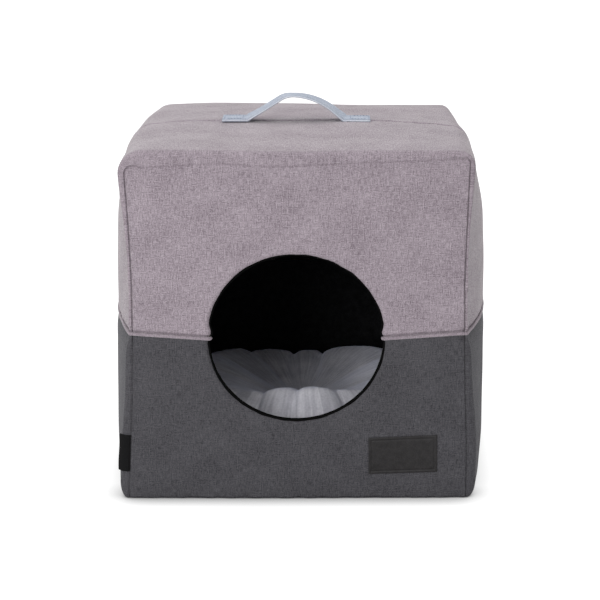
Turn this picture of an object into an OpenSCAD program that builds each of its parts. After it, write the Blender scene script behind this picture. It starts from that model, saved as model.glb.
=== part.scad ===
// Soft cat condo: a padded square base and a padded hood that meet at a waist seam,
// with a round doorway through both, a carry handle on the roof and a loose tufted cushion.
// Every wall is outer fabric, a foam board and a lining.
// Origin: middle of the underside. X to the right, Y to the back, Z up. Sizes in millimetres.

/* [Body] */
// Width across the corners
body_w = 408; // [360:1:460]
// Depth across the corners
body_d = 392; // [340:1:440]
// How far each side wall swells out at its middle
side_bulge = 10; // [4:0.5:16]
// How far the front and back walls swell out at their middles
front_bulge = 6; // [3:0.5:12]
// Radius of the upright corners
corner_r = 16; // [8:0.5:20]
// Distance from a corner's side face to the seam of the front panel
seam_inset = 14; // [10:0.5:20]
// Height of the waist seam above the floor
waist_z = 188; // [150:1:220]
// Height of the hood's upright walls
hood_h = 184; // [150:1:230]
// Height of the rounded roof above the hood's walls
roof_rise = 29; // [20:0.5:45]
// Distance in from the walls at which the roof reaches its full height
roof_shoulder = 100; // [60:1:110]

/* [Layers] */
// Thickness of the outer fabric
cover_t = 1.2; // [0.8:0.1:2]
// Thickness of the foam in the walls
foam_t = 20; // [12:0.5:26]
// Thickness of the lining
lining_t = 0.8; // [0.5:0.1:1.5]
// Thickness of the board in the floor
board_t = 10; // [4:0.5:16]
// Thickness of the hard-wearing fabric under the floor
base_t = 1.5; // [1:0.1:3]
// Clearance between layers and between neighbouring panels
layer_gap = 0.2; // [0.1:0.05:0.3]
// Clearance under a loose piece and beside a moving one
seat_gap = 0.3; // [0.2:0.05:0.5]

/* [Doorway] */
// Radius of the round doorway
door_r = 95; // [70:1:105]
// How far the doorway's centre lies below the waist seam
door_drop = 1; // [0:0.5:10]
// Thickness of the binding that lines the doorway
binding_t = 1.6; // [1:0.1:3]

/* [Hem] */
// Height of the hood's folded hem at the waist
hem_h = 9; // [5:0.5:16]
// Thickness of the folded hem
hem_t = 1.2; // [0.8:0.1:2]
// Height of the fold line between base and hood
waist_gap = 0.6; // [0.3:0.1:1]

/* [Handle] */
// Width of the strap
strap_w = 30; // [20:1:40]
// Thickness of the strap
strap_t = 2.2; // [1.5:0.1:3]
// Length of each sewn end of the strap
tab_l = 30; // [20:1:40]
// Clear distance between the sewn ends
handle_span = 118; // [90:1:140]
// Height of the strap's middle above its sewn ends
handle_rise = 28; // [20:1:40]
// Radius at which the strap bends up from each sewn end
handle_foot_r = 25; // [18:1:30]

/* [Trim] */
// Width of the patch on the base's front
patch_w = 78; // [40:1:100]
// Height of the patch
patch_h = 45; // [25:1:60]
// Thickness of the patch
patch_t = 1.2; // [0.8:0.1:2]
// Distance of the patch's edge from the right corner seam
patch_margin = 36; // [20:1:70]
// Height of the patch's middle above the floor
patch_z = 48; // [35:1:70]
// Height of the folded label in the left corner seam
label_h = 38; // [20:1:50]
// How far the label reaches out of the seam
label_w = 15; // [8:0.5:20]
// Thickness of the folded label
label_t = 1.6; // [1:0.1:2.5]
// Height of the label's middle above the floor
label_z = 56; // [30:1:90]

/* [Cushion] */
// Clearance between the cushion and the lining of the walls
cushion_gap = 5; // [3:0.5:12]
// Height of the cushion's rim
cushion_h = 78; // [60:1:110]
// Radius of the cushion's corners
cushion_corner_r = 80; // [70:1:110]
// Distance in from its edge at which the cushion reaches its full height
cushion_shoulder = 60; // [40:1:64]
// Radius of the hollow in the cushion's top
dish_r = 110; // [80:1:140]
// Depth of the hollow in the cushion's top
dish_depth = 30; // [20:1:45]
// Thickness of the plush cover
plush_t = 2; // [1:0.1:3]
// Radius of the tuft at the middle of the hollow
tuft_r = 9; // [6:0.5:14]
// Height of the tuft
tuft_h = 4; // [2:0.5:6]

/* [Hidden] */

// Colours of the fabrics
charcoal = "#4d4b50";
heather = "#a0959d";
black = "#141314";
foam_white = "#e6e2d8";
board_grey = "#8b8a88";
strap_blue = "#b1b9c9";
patch_black = "#323031";
plush_grey = "#a3a2aa";

// Facets of large arcs and of small rounds
arc_fn = 360;
round_fn = 32;
// Length by which a cut runs past what it cuts
overrun = 5;
// Height of the thin slices that a lofted form is stretched over
slice_t = 0.4;

// Steps of the roof's rounded profile, from the walls to the crown
roof_inset_shares = [0, 0.015, 0.06, 0.13, 0.26, 0.6, 1];
roof_rise_shares = [0, 0.22, 0.46, 0.61, 0.75, 0.92, 1];
// Steps of the cushion's rounded profile, from its underside to its rim
cushion_inset_shares = [0.24, 0.08, 0, 0.03, 0.2, 0.55, 1];
cushion_rise_shares = [0, 0.1, 0.3, 0.55, 0.8, 0.95, 1];
// Height of the cushion's side seam
cushion_seam_share = 0.3;

// Radii and centres of the swelling walls, seen from above
side_r = (pow(body_d / 2, 2) + pow(side_bulge, 2)) / (2 * side_bulge);
front_r = (pow(body_w / 2, 2) + pow(front_bulge, 2)) / (2 * front_bulge);
side_centre = [body_w / 2 + side_bulge - side_r, 0];
back_centre = [0, body_d / 2 + front_bulge - front_r];

// Insets of the layers from the outside
foam_inset = cover_t + layer_gap;
lining_inset = foam_inset + foam_t + layer_gap;
wall_t = lining_inset + lining_t;

// Heights of the base's layers
board_z = base_t + layer_gap;
padding_z = board_z + board_t + layer_gap;
lower_top = waist_z - waist_gap / 2;
cushion_z = padding_z + lining_t + seat_gap;

// Heights of the hood and the roof
hood_z = waist_z + waist_gap / 2;
hood_top = waist_z + hood_h;
roof_z = hood_top + seat_gap;
roof_top = roof_z + roof_rise;
ceiling_top = roof_z + lining_t;

// The doorway
door_z = waist_z - door_drop;
door_cut_r = door_r + binding_t + layer_gap;

// Corner seams: a line at 45 degrees inward from the front panel's edge
seam_x = body_w / 2 - seam_inset;
seam_y = -front_y(seam_x);
mitre_y = seam_y - seam_x;
reach = body_w + body_d;

// Middle of the patch on the front panel
patch_x = seam_x - patch_margin - patch_w / 2;

// The handle's strap: a foot arc at each end and one arch between them
arch_r = (pow(handle_span / 2, 2) + pow(handle_foot_r - handle_rise, 2) - pow(handle_foot_r, 2))
    / (2 * handle_rise);
strap_z = roof_top + seat_gap + strap_t / 2;
arch_centre_z = strap_z + handle_rise - arch_r;
hinge_x = handle_span / 2 * arch_r / (arch_r + handle_foot_r);

// The cushion's plan and its hollow
cushion_w = body_w - 2 * (wall_t + cushion_gap);
cushion_d = body_d - 2 * (wall_t + cushion_gap);
dish_ball_r = (pow(dish_r, 2) + pow(dish_depth, 2)) / (2 * dish_depth);
dish_z = cushion_z + cushion_h - dish_depth;
cushion_seam_z = cushion_z + cushion_h * cushion_seam_share;

// Y of the front face at x, on the outside of the fabric
function front_y(x) = -back_centre[1] - sqrt(pow(front_r, 2) - pow(x, 2));

// Crossing of two circles, the one nearer to the origin
function crossing(a, ra, b, rb) =
    let (d = norm(b - a), u = (b - a) / d, n = [-u[1], u[0]])
    let (t = (ra * ra - rb * rb + d * d) / (2 * d), h = sqrt(ra * ra - t * t))
    let (p = a + u * t + n * h, q = a + u * t - n * h)
    norm(p) < norm(q) ? p : q;

// What rounding one upright corner takes away, seen from above
module corner_cut(inset) {
    r = corner_r - inset;
    c = crossing(side_centre, side_r - corner_r, back_centre, front_r - corner_r);
    u = (c - side_centre) / norm(c - side_centre);
    v = (c - back_centre) / norm(c - back_centre);
    difference() {
        polygon([c, c + u * 2 * corner_r, c + (u + v) * 2 * corner_r, c + v * 2 * corner_r]);
        translate(c) circle(r = r, $fn = round_fn);
    }
}

// The body's outline seen from above, moved in by inset
module outline(inset) {
    difference() {
        intersection() {
            translate(side_centre) circle(r = side_r - inset, $fn = arc_fn);
            translate(-side_centre) circle(r = side_r - inset, $fn = arc_fn);
            translate(back_centre) circle(r = front_r - inset, $fn = arc_fn);
            translate(-back_centre) circle(r = front_r - inset, $fn = arc_fn);
        }
        if (inset < corner_r)
            for (x = [0, 1], y = [0, 1]) mirror([x, 0]) mirror([0, y]) corner_cut(inset);
    }
}

// One layer of the walls seen from above
module layer(inset, t) {
    difference() {
        outline(inset);
        outline(inset + t);
    }
}

// The part of a layer that belongs to the front panel
module front_sector() {
    polygon([[0, -mitre_y], [reach, -mitre_y - reach], [-reach, -mitre_y - reach]]);
}

module back_sector() mirror([0, 1]) front_sector();

// The part of a layer that belongs to the right side panel
module right_sector() {
    y = mitre_y - layer_gap;
    polygon([[0, -y], [reach, -y - reach], [reach, y + reach], [0, y]]);
}

module left_sector() mirror([1, 0]) right_sector();

// One upright panel: the layer inset by inset, within the sector given as child
module panel(inset, t, z, h) {
    translate([0, 0, z]) linear_extrude(h) intersection() {
        layer(inset, t);
        children();
    }
}

// The doorway's round cut through the front wall
module doorway(r) {
    translate([0, 0, door_z]) rotate([90, 0, 0]) cylinder(r = r, h = body_d, $fn = arc_fn);
}

module lower_cover() color(charcoal) panel(0, cover_t, board_z, lower_top - board_z) children();
module lower_foam() color(foam_white)
    panel(foam_inset, foam_t, padding_z, lower_top - padding_z) children();
module lower_lining() color(black)
    panel(lining_inset, lining_t, padding_z, lower_top - padding_z) children();
module hood_cover() color(heather) panel(0, cover_t, hood_z, hood_top - hood_z) children();
module hood_foam() color(foam_white)
    panel(foam_inset, foam_t, hood_z, hood_top - hood_z) children();
module hood_lining() color(black)
    panel(lining_inset, lining_t, hood_z, hood_top - hood_z) children();
module hem() color(heather) panel(-hem_t - layer_gap, hem_t, hood_z, hem_h) children();

// Cuts the doorway out of a front panel
module with_doorway() {
    difference() {
        children();
        doorway(door_cut_r);
    }
}

module base_cover() color(charcoal) linear_extrude(base_t) outline(0);

module base_board() color(board_grey)
    translate([0, 0, board_z]) linear_extrude(board_t) outline(foam_inset);

module floor_lining() color(black)
    translate([0, 0, padding_z]) linear_extrude(lining_t) outline(wall_t + layer_gap);

module lower_front_cover() with_doorway() lower_cover() front_sector();
module lower_back_cover() lower_cover() back_sector();
module lower_left_cover() lower_cover() left_sector();
module lower_right_cover() lower_cover() right_sector();

module lower_front_foam() with_doorway() lower_foam() front_sector();
module lower_back_foam() lower_foam() back_sector();
module lower_left_foam() lower_foam() left_sector();
module lower_right_foam() lower_foam() right_sector();

module lower_front_lining() with_doorway() lower_lining() front_sector();
module lower_back_lining() lower_lining() back_sector();
module lower_left_lining() lower_lining() left_sector();
module lower_right_lining() lower_lining() right_sector();

module hood_front_cover() with_doorway() hood_cover() front_sector();
module hood_back_cover() hood_cover() back_sector();

// The half of a panel or roof in front of the seam across the hood's middle
module front_half() {
    intersection() {
        children();
        translate([-reach / 2, -reach - layer_gap / 2, 0]) cube([reach, reach, reach]);
    }
}

// The half behind that seam
module rear_half() {
    intersection() {
        children();
        translate([-reach / 2, layer_gap / 2, 0]) cube([reach, reach, reach]);
    }
}

module hood_left_front_cover() front_half() hood_cover() left_sector();
module hood_left_rear_cover() rear_half() hood_cover() left_sector();
module hood_right_front_cover() front_half() hood_cover() right_sector();
module hood_right_rear_cover() rear_half() hood_cover() right_sector();

module hood_front_foam() with_doorway() hood_foam() front_sector();
module hood_back_foam() hood_foam() back_sector();
module hood_left_foam() hood_foam() left_sector();
module hood_right_foam() hood_foam() right_sector();

module hood_front_lining() with_doorway() hood_lining() front_sector();
module hood_back_lining() hood_lining() back_sector();
module hood_left_lining() hood_lining() left_sector();
module hood_right_lining() hood_lining() right_sector();

// The rounded roof as one solid, moved in by inset and carried down by skirt
module roof_form(inset, skirt) {
    hull() {
        if (skirt > 0)
            translate([0, 0, roof_z - skirt]) linear_extrude(slice_t) outline(inset);
        for (i = [0 : len(roof_rise_shares) - 1])
            translate([0, 0, roof_z + (roof_rise - slice_t - inset) * roof_rise_shares[i]])
                linear_extrude(slice_t)
                    outline(inset + roof_shoulder * roof_inset_shares[i]);
    }
}

module roof_cover() color(heather) {
    difference() {
        roof_form(0, 0);
        roof_form(cover_t, overrun);
    }
}

module roof_foam() color(foam_white) roof_form(foam_inset, 0);

module roof_front_cover() front_half() roof_cover();
module roof_rear_cover() rear_half() roof_cover();

// The foam starts above the ceiling's lining
module above_ceiling() {
    intersection() {
        children();
        translate([-reach / 2, -reach / 2, ceiling_top + layer_gap]) cube([reach, reach, reach]);
    }
}

module roof_front_foam() front_half() above_ceiling() roof_foam();
module roof_rear_foam() rear_half() above_ceiling() roof_foam();

module ceiling_lining() color(black)
    translate([0, 0, roof_z]) linear_extrude(lining_t) outline(foam_inset);

module hood_hem_front() with_doorway() hem() front_sector();
module hood_hem_back() hem() back_sector();
module hood_hem_left() hem() left_sector();
module hood_hem_right() hem() right_sector();

// Binding through the thickness of the front wall, around the doorway
module door_binding(z, h) color(black) {
    difference() {
        intersection() {
            doorway(door_r + binding_t);
            panel(0, wall_t, z, h) front_sector();
        }
        doorway(door_r);
    }
}

module door_binding_lower() door_binding(padding_z, lower_top - padding_z);
module door_binding_upper() door_binding(hood_z, hood_top - hood_z);

// The strap's outline from the side: the arch, the two feet and the sewn ends
module strap_outline() {
    foot_z = strap_z + handle_foot_r;
    intersection() {
        translate([0, arch_centre_z]) difference() {
            circle(r = arch_r + strap_t / 2, $fn = arc_fn);
            circle(r = arch_r - strap_t / 2, $fn = arc_fn);
        }
        translate([-hinge_x, strap_z]) square([2 * hinge_x, handle_rise + strap_t]);
    }
    for (side = [0, 1]) mirror([side, 0]) {
        intersection() {
            translate([handle_span / 2, foot_z]) difference() {
                circle(r = handle_foot_r + strap_t / 2, $fn = arc_fn);
                circle(r = handle_foot_r - strap_t / 2, $fn = arc_fn);
            }
            translate([hinge_x, strap_z - strap_t / 2])
                square([handle_span / 2 - hinge_x, handle_foot_r]);
        }
        translate([handle_span / 2, strap_z - strap_t / 2]) square([tab_l, strap_t]);
    }
}

// The strap between two distances from the middle, across its full width
module strap(from_x, to_x) color(strap_blue) {
    translate([0, strap_w / 2, 0]) rotate([90, 0, 0]) linear_extrude(strap_w) intersection() {
        strap_outline();
        translate([from_x, 0]) square([to_x - from_x, reach]);
    }
}

module handle_loop() strap(-hinge_x + seat_gap / 2, hinge_x - seat_gap / 2);
module handle_right_tab() strap(hinge_x + seat_gap / 2, handle_span / 2 + tab_l);
module handle_left_tab() mirror([1, 0, 0]) handle_right_tab();

module front_patch() color(patch_black) {
    intersection() {
        panel(-patch_t - layer_gap, patch_t, patch_z - patch_h / 2, patch_h) front_sector();
        translate([patch_x - patch_w / 2, -body_d, 0]) cube([patch_w, body_d, reach]);
    }
}

module side_label() color(black)
    translate([-seam_x - label_w, front_y(seam_x) - seat_gap - label_t, label_z - label_h / 2])
        cube([label_w, label_t, label_h]);

// The cushion's pillow, moved in by inset
module pillow(inset) {
    hull()
        for (i = [0 : len(cushion_rise_shares) - 1], x = [-1, 1], y = [-1, 1]) {
            rise = (cushion_h - slice_t) * cushion_rise_shares[i];
            step = inset * (1 - 2 * cushion_rise_shares[i]);
            translate([
                x * (cushion_w / 2 - cushion_corner_r),
                y * (cushion_d / 2 - cushion_corner_r),
                cushion_z + rise + step
            ])
                cylinder(
                    r = cushion_corner_r - cushion_shoulder * cushion_inset_shares[i] - inset,
                    h = slice_t,
                    $fn = round_fn
                );
        }
}

// The pillow with the hollow pressed into its top
module dished_pillow(inset) {
    difference() {
        pillow(inset);
        translate([0, 0, dish_z + dish_ball_r]) sphere(r = dish_ball_r + inset, $fn = arc_fn / 3);
    }
}

module plush() color(plush_grey) {
    difference() {
        dished_pillow(0);
        dished_pillow(plush_t);
    }
}

module cushion_top_cover() {
    intersection() {
        plush();
        translate([-reach / 2, -reach / 2, cushion_seam_z + layer_gap / 2])
            cube([reach, reach, reach]);
    }
}

module cushion_base_cover() {
    intersection() {
        plush();
        translate([-reach / 2, -reach / 2, cushion_seam_z - layer_gap / 2 - reach])
            cube([reach, reach, reach]);
    }
}

module cushion_fill() color(foam_white) dished_pillow(plush_t + layer_gap);

module cushion_tuft() color(plush_grey)
    translate([0, 0, dish_z + seat_gap]) cylinder(r = tuft_r, h = tuft_h, $fn = round_fn);

base_cover();
base_board();
floor_lining();
lower_front_cover();
lower_back_cover();
lower_left_cover();
lower_right_cover();
lower_front_foam();
lower_back_foam();
lower_left_foam();
lower_right_foam();
lower_front_lining();
lower_back_lining();
lower_left_lining();
lower_right_lining();
hood_front_cover();
hood_back_cover();
hood_left_front_cover();
hood_left_rear_cover();
hood_right_front_cover();
hood_right_rear_cover();
hood_front_foam();
hood_back_foam();
hood_left_foam();
hood_right_foam();
hood_front_lining();
hood_back_lining();
hood_left_lining();
hood_right_lining();
roof_front_cover();
roof_rear_cover();
roof_front_foam();
roof_rear_foam();
ceiling_lining();
hood_hem_front();
hood_hem_back();
hood_hem_left();
hood_hem_right();
door_binding_lower();
door_binding_upper();
handle_loop();
handle_left_tab();
handle_right_tab();
front_patch();
side_label();
cushion_top_cover();
cushion_base_cover();
cushion_fill();
cushion_tuft();
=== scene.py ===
"""Looks of a soft cat condo: a charcoal base, a heather hood, a webbing handle and a tufted cushion.

Sizes are in millimetres and turn into metres where a mesh is made. X is to the right, Y to the back
and Z up, with the origin in the middle of the underside.
"""

import logging
import math
from dataclasses import dataclass, field
from enum import Enum

import bpy
import numpy as np
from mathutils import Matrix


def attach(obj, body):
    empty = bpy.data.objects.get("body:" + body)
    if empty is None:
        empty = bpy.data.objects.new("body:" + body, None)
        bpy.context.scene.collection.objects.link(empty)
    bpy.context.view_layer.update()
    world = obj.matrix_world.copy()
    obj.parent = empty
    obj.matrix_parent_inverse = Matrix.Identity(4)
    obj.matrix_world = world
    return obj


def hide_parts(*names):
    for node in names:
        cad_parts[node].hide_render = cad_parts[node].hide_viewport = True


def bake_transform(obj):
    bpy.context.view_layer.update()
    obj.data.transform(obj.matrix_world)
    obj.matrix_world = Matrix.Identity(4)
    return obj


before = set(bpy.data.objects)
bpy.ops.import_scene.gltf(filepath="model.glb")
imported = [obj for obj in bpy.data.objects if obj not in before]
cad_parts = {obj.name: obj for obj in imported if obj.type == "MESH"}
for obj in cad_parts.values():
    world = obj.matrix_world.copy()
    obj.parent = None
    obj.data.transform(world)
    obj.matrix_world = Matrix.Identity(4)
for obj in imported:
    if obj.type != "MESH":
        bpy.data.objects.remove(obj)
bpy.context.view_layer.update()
LOG = logging.getLogger("cat_condo")
MM = 0.001
Tree = bpy.types.NodeTree
Socket = bpy.types.NodeSocket
Piece = bpy.types.Object
SIDES = ((-1, "left"), (1, "right"))


class Body(str, Enum):
    """The bodies that the joints move."""

    BASE = "base"
    ROOF = "roof"
    HANDLE = "handle"
    CUSHION = "cushion"


class Edge(Enum):
    """The four borders of a panel's grid of points: the axis that leads away from each, and which way."""

    FIRST_ROW = (0, 1)
    LAST_ROW = (0, -1)
    FIRST_COLUMN = (1, 1)
    LAST_COLUMN = (1, -1)


# Materials


def linear(hex_code: str) -> tuple[float, float, float, float]:
    """Turns an sRGB colour into linear light.

    Args:
        hex_code: The colour as six hex digits after a hash sign.

    Returns:
        Red, green, blue and full opacity.
    """
    shares = [int(hex_code[i : i + 2], 16) / 255 for i in (1, 3, 5)]
    return (*[s / 12.92 if s <= 0.04045 else ((s + 0.055) / 1.055) ** 2.4 for s in shares], 1.0)


def add_node(
    tree: Tree, kind: str, inputs: dict | None = None, out: str | int = 0, **settings
) -> Socket | None:
    """Adds one shader node.

    Args:
        tree: The node tree of a material or world.
        kind: The node's type.
        inputs: Values or sockets by the name or number of the input they go to.
        out: Name or number of the output that is wanted.
        settings: Properties of the node itself.

    Returns:
        That output, or None where the node has no output.
    """
    node = tree.nodes.new(kind)
    for name, value in settings.items():
        setattr(node, name, value)
    for name, value in (inputs or {}).items():
        if isinstance(value, Socket):
            tree.links.new(value, node.inputs[name])
        else:
            node.inputs[name].default_value = value
    return node.outputs[out] if node.outputs else None


@dataclass(frozen=True)
class Finish:
    """A material by its real name, with the record's slot that it belongs to and its two tones."""

    name: str
    slot: str
    dark: str
    light: str

    def material(self) -> bpy.types.Material:
        """Finds the material, which is made at its first use.

        Returns:
            The material.
        """
        found = bpy.data.materials.get(self.name)
        if found:
            return found
        made = bpy.data.materials.new(self.name)
        made.use_nodes = True
        made.node_tree.nodes.clear()
        add_node(made.node_tree, "ShaderNodeOutputMaterial", {"Surface": self.shade(made.node_tree)})
        return made

    def shade(self, tree: Tree) -> Socket:
        """Adds the nodes of this finish and returns its shader."""
        raise NotImplementedError

    def surface(
        self, tree: Tree, share: Socket, height: Socket,
        bump: tuple[float, float], looks: dict,
    ) -> Socket:
        """Adds what every finish ends with: its two tones, its relief and its shader.

        Args:
            tree: The material's node tree.
            share: How much of the light tone shows, from 0 to 1.
            height: The relief's height.
            bump: The relief's strength and its depth in millimetres.
            looks: The shader's other inputs.

        Returns:
            The shader.
        """
        tones = {"Factor": share, "A": linear(self.dark), "B": linear(self.light)}
        colour = add_node(tree, "ShaderNodeMix", tones, "Result", data_type="RGBA")
        strength, depth = bump
        relief = add_node(
            tree, "ShaderNodeBump", {"Height": height, "Strength": strength, "Distance": depth * MM}
        )
        return add_node(tree, "ShaderNodeBsdfPrincipled", {"Base Color": colour, "Normal": relief, **looks})


@dataclass(frozen=True)
class Woven(Finish):
    """Plain-woven cloth of flecked yarn, which shows slubs along both threads and a soft bloom at its rim."""

    bloom: str = "#ffffff"
    sheen: float = 0.3
    thread_mm: float = 1.3  # the real thread is about 0.5 mm, drawn coarser so that it shows
    slub_mm: float = 8.0
    relief_mm: float = 0.3
    weights: tuple = (1.0, 0.75, 1.35, 0.4)  # of upright yarn, level yarn, crossings and slow clouds
    cloud_slubs: float = 5.0
    bloom_dip: float = 0.25
    roughness: float = 0.92
    specular: float = 0.18

    def shade(self, tree: Tree) -> Socket:
        """Adds the nodes of this finish.

        Args:
            tree: The material's node tree.

        Returns:
            The shader.
        """
        place = add_node(tree, "ShaderNodeTexCoord", out="UV")
        fine, long = 1 / (self.thread_mm * MM), 1 / (self.slub_mm * MM)
        cloud = long / self.cloud_slubs
        tone = 0.0
        for scale, weight in zip(((fine, long), (long, fine), (fine, fine), (cloud, cloud)), self.weights):
            spot = add_node(tree, "ShaderNodeMapping", {"Vector": place, "Scale": (*scale, 1)})
            noise = add_node(tree, "ShaderNodeTexNoise", {"Vector": spot, "Scale": 1.0, "Detail": 2.0})
            tone = add_node(tree, "ShaderNodeMath", {0: noise, 1: weight, 2: tone}, operation="MULTIPLY_ADD")
        middle = sum(self.weights) / 2
        spread = {"Value": tone, "From Min": middle - 0.5, "From Max": middle + 0.5}
        share = add_node(tree, "ShaderNodeMapRange", spread)
        rim = linear(self.bloom)
        dim = (*[c * self.bloom_dip for c in rim[:3]], 1.0)
        tints = {"Factor": share, "A": dim, "B": rim}
        bloom = add_node(tree, "ShaderNodeMix", tints, "Result", data_type="RGBA")
        looks = {
            "Roughness": self.roughness, "Specular IOR Level": self.specular,
            "Sheen Weight": self.sheen, "Sheen Roughness": 0.4, "Sheen Tint": bloom,
        }
        return self.surface(tree, share, tone, (0.6, self.relief_mm), looks)


@dataclass(frozen=True)
class Pile(Finish):
    """Brushed short-pile plush, pale where the pile stands and darker where it is stroked flat."""

    bloom: str = "#ffffff"
    tuft_mm: float = 2.4
    stroke_mm: float = 34.0
    comb_mm: float = 4.5
    comb_long_mm: float = 42.0
    comb_away_mm: float = 120.0  # where a combed mark, which widens from the middle, is comb_mm wide
    comb_weight: float = 1.1
    tuft_weight: float = 0.5
    tone_range: tuple = (0.95, 1.65)
    relief_mm: float = 1.4

    def shade(self, tree: Tree) -> Socket:
        """Adds the nodes of this finish.

        Args:
            tree: The material's node tree.

        Returns:
            The shader.
        """
        place = add_node(tree, "ShaderNodeTexCoord", out="Object")
        fine, stroke = (
            add_node(tree, "ShaderNodeTexNoise", {"Vector": place, "Scale": 1 / size, "Detail": detail})
            for size, detail in ((self.tuft_mm * MM, 3.0), (self.stroke_mm * MM, 2.0))
        )
        x, y = (add_node(tree, "ShaderNodeSeparateXYZ", {"Vector": place}, axis) for axis in "XY")
        turn = add_node(tree, "ShaderNodeMath", {0: y, 1: x}, operation="ARCTAN2")
        away = add_node(tree, "ShaderNodeVectorMath", {0: place}, "Value", operation="LENGTH")
        polar = add_node(tree, "ShaderNodeCombineXYZ", {"X": turn, "Y": away})
        scale = (self.comb_away_mm / self.comb_mm, 1 / (self.comb_long_mm * MM), 1)
        spot = add_node(tree, "ShaderNodeMapping", {"Vector": polar, "Scale": scale})
        marks = {"Vector": spot, "Scale": 1.0, "Detail": 3.0, "Distortion": 0.8}
        nap = stroke
        combed = add_node(tree, "ShaderNodeTexNoise", marks)
        for value, weight in ((combed, self.comb_weight), (fine, self.tuft_weight)):
            nap = add_node(tree, "ShaderNodeMath", {0: value, 1: weight, 2: nap}, operation="MULTIPLY_ADD")
        low, high = self.tone_range
        tone = add_node(tree, "ShaderNodeMapRange", {"Value": nap, "From Min": low, "From Max": high})
        looks = {
            "Roughness": 0.95, "Specular IOR Level": 0.1,
            "Sheen Weight": 1.0, "Sheen Roughness": 0.5, "Sheen Tint": linear(self.bloom),
        }
        return self.surface(tree, tone, nap, (0.5, self.relief_mm), looks)


@dataclass(frozen=True)
class Grained(Finish):
    """A surface with one grain: pressed leatherette, extruded foam, pulp board or calendered lining."""

    grain_mm: float = 2.0
    relief_mm: float = 0.2
    roughness: float = 0.6
    specular: float = 0.3
    sheen: float = 0.0
    cloud_grains: float = 5.0
    cell_weight: float = 0.5
    tone_range: tuple = (0.45, 1.0)

    def shade(self, tree: Tree) -> Socket:
        """Adds the nodes of this finish.

        Args:
            tree: The material's node tree.

        Returns:
            The shader.
        """
        place = add_node(tree, "ShaderNodeTexCoord", out="Object")
        scale = 1 / (self.grain_mm * MM)
        cells = add_node(
            tree, "ShaderNodeTexVoronoi", {"Vector": place, "Scale": scale}, "Distance", feature="SMOOTH_F1"
        )
        slow = {"Vector": place, "Scale": scale / self.cloud_grains, "Detail": 4.0}
        cloud = add_node(tree, "ShaderNodeTexNoise", slow)
        sums = {0: cells, 1: self.cell_weight, 2: cloud}
        both = add_node(tree, "ShaderNodeMath", sums, operation="MULTIPLY_ADD")
        low, high = self.tone_range
        tone = add_node(tree, "ShaderNodeMapRange", {"Value": both, "From Min": low, "From Max": high})
        looks = {
            "Roughness": self.roughness, "Specular IOR Level": self.specular, "Sheen Weight": self.sheen,
        }
        return self.surface(tree, tone, cells, (0.4, self.relief_mm), looks)


# Polyester woven from two greys: dark, close and dull, with a pale bloom where it turns away
CHARCOAL = Woven("polyester_charcoal_woven", "charcoal_fabric", "#2e2d31", "#5d5c60", "#d8d8da", 0.28)
# The same cloth in rosy grey melange: pale flecks on a mauve ground
HEATHER = Woven("polyester_heather_woven", "heather_fabric", "#6a5f67", "#b4a9b1", "#f8f7f4", 0.56)
# Cotton webbing in pale denim blue: firm ribs across, a tight edge
WEBBING = Woven(
    "cotton_webbing_denim", "strap_webbing", "#7a8397", "#cdd4df", sheen=0.2, slub_mm=5.0, relief_mm=0.5
)
# Filament taffeta, black and close, with a faint gloss
LABEL = Woven(
    "filament_taffeta_black", "label_weave", "#050506", "#121213", "#8a8a90", 0.05, thread_mm=0.9, slub_mm=6.0
)
# Spun-bonded lining: black, so that the inside reads as a dark cave
LINING = Grained("nonwoven_lining_black", "black_lining", "#161617", "#262628", 1.5, 0.1, 0.95, 0.05)
# Bias tape folded round the doorway's cut edge: a thin black line
BINDING = Grained("bias_tape_black", "black_binding", "#020202", "#070707", 1.2, 0.15, 0.85, 0.08)
# Polyurethane leather, pressed with a fine pebble grain: near black, with a broad dull gleam
LEATHERETTE = Grained(
    "leatherette_pressed_black", "patch_leatherette", "#191718", "#2a2829", 1.4, 0.25, 0.5, 0.3
)
# Brushed polyester plush, pale cool grey with strokes that run out from the middle
PLUSH = Pile("polyester_plush_grey", "plush", "#b2b1bb", "#f0eff6", "#dde0f2")
# Slabstock foam, cut: ivory and open-celled
FOAM = Grained("polyurethane_foam_cut", "foam", "#d8d2c2", "#ece8dc", 1.8, 0.5, 0.95, 0.1)
# Carded fibre: white and fluffy
FIBRE = Grained("polyester_fibre_carded", "fibre_fill", "#dcdcda", "#f0f0ee", 5.0, 1.0, 0.95, 0.05, 0.3)
# Pressed pulp board: grey-brown and dull
BOARD = Grained("pulp_board_pressed", "floor_board", "#7c7872", "#99958d", 3.0, 0.2, 0.85, 0.15)
# Cotton cord along the webbing's edges with a fine twist, paler than the strap as a painted highlight on its
# lit rim
EDGE_HIGHLIGHT_CORD = Woven("cotton_edge_cord_painted_highlight", "strap_webbing", "#aab2c2", "#eef1f6", thread_mm=0.8, slub_mm=2.0)
# Core-spun thread near the tone of the cloth that it holds: fine and twisted
HEATHER_THREAD = Woven(
    "sewing_thread_heather", "heather_fabric", "#7d727a", "#a89da5", thread_mm=0.8, slub_mm=2.0
)
DENIM_THREAD = Woven("sewing_thread_denim", "strap_webbing", "#8c96a9", "#b9c2d3", thread_mm=0.8, slub_mm=2.0)


# Meshes


def graded(count: int, ease: float = 0.8) -> np.ndarray:
    """Returns count shares from 0 to 1, which lie the closer at both ends the larger ease is."""
    share = np.linspace(0, 1, count)
    return share - ease * np.sin(2 * np.pi * share) / (2 * np.pi)


def run_of(line: np.ndarray) -> np.ndarray:
    """Returns how far along a line of points each of them lies."""
    return np.concatenate([[0], np.cumsum(np.linalg.norm(np.diff(line, axis=0), axis=1))])


def picked(values: np.ndarray, run: np.ndarray, at: np.ndarray) -> np.ndarray:
    """Returns what the rows of values, which lie at the distances run, are at other distances."""
    return np.stack([np.interp(at, run, column) for column in values.T], -1)


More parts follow.
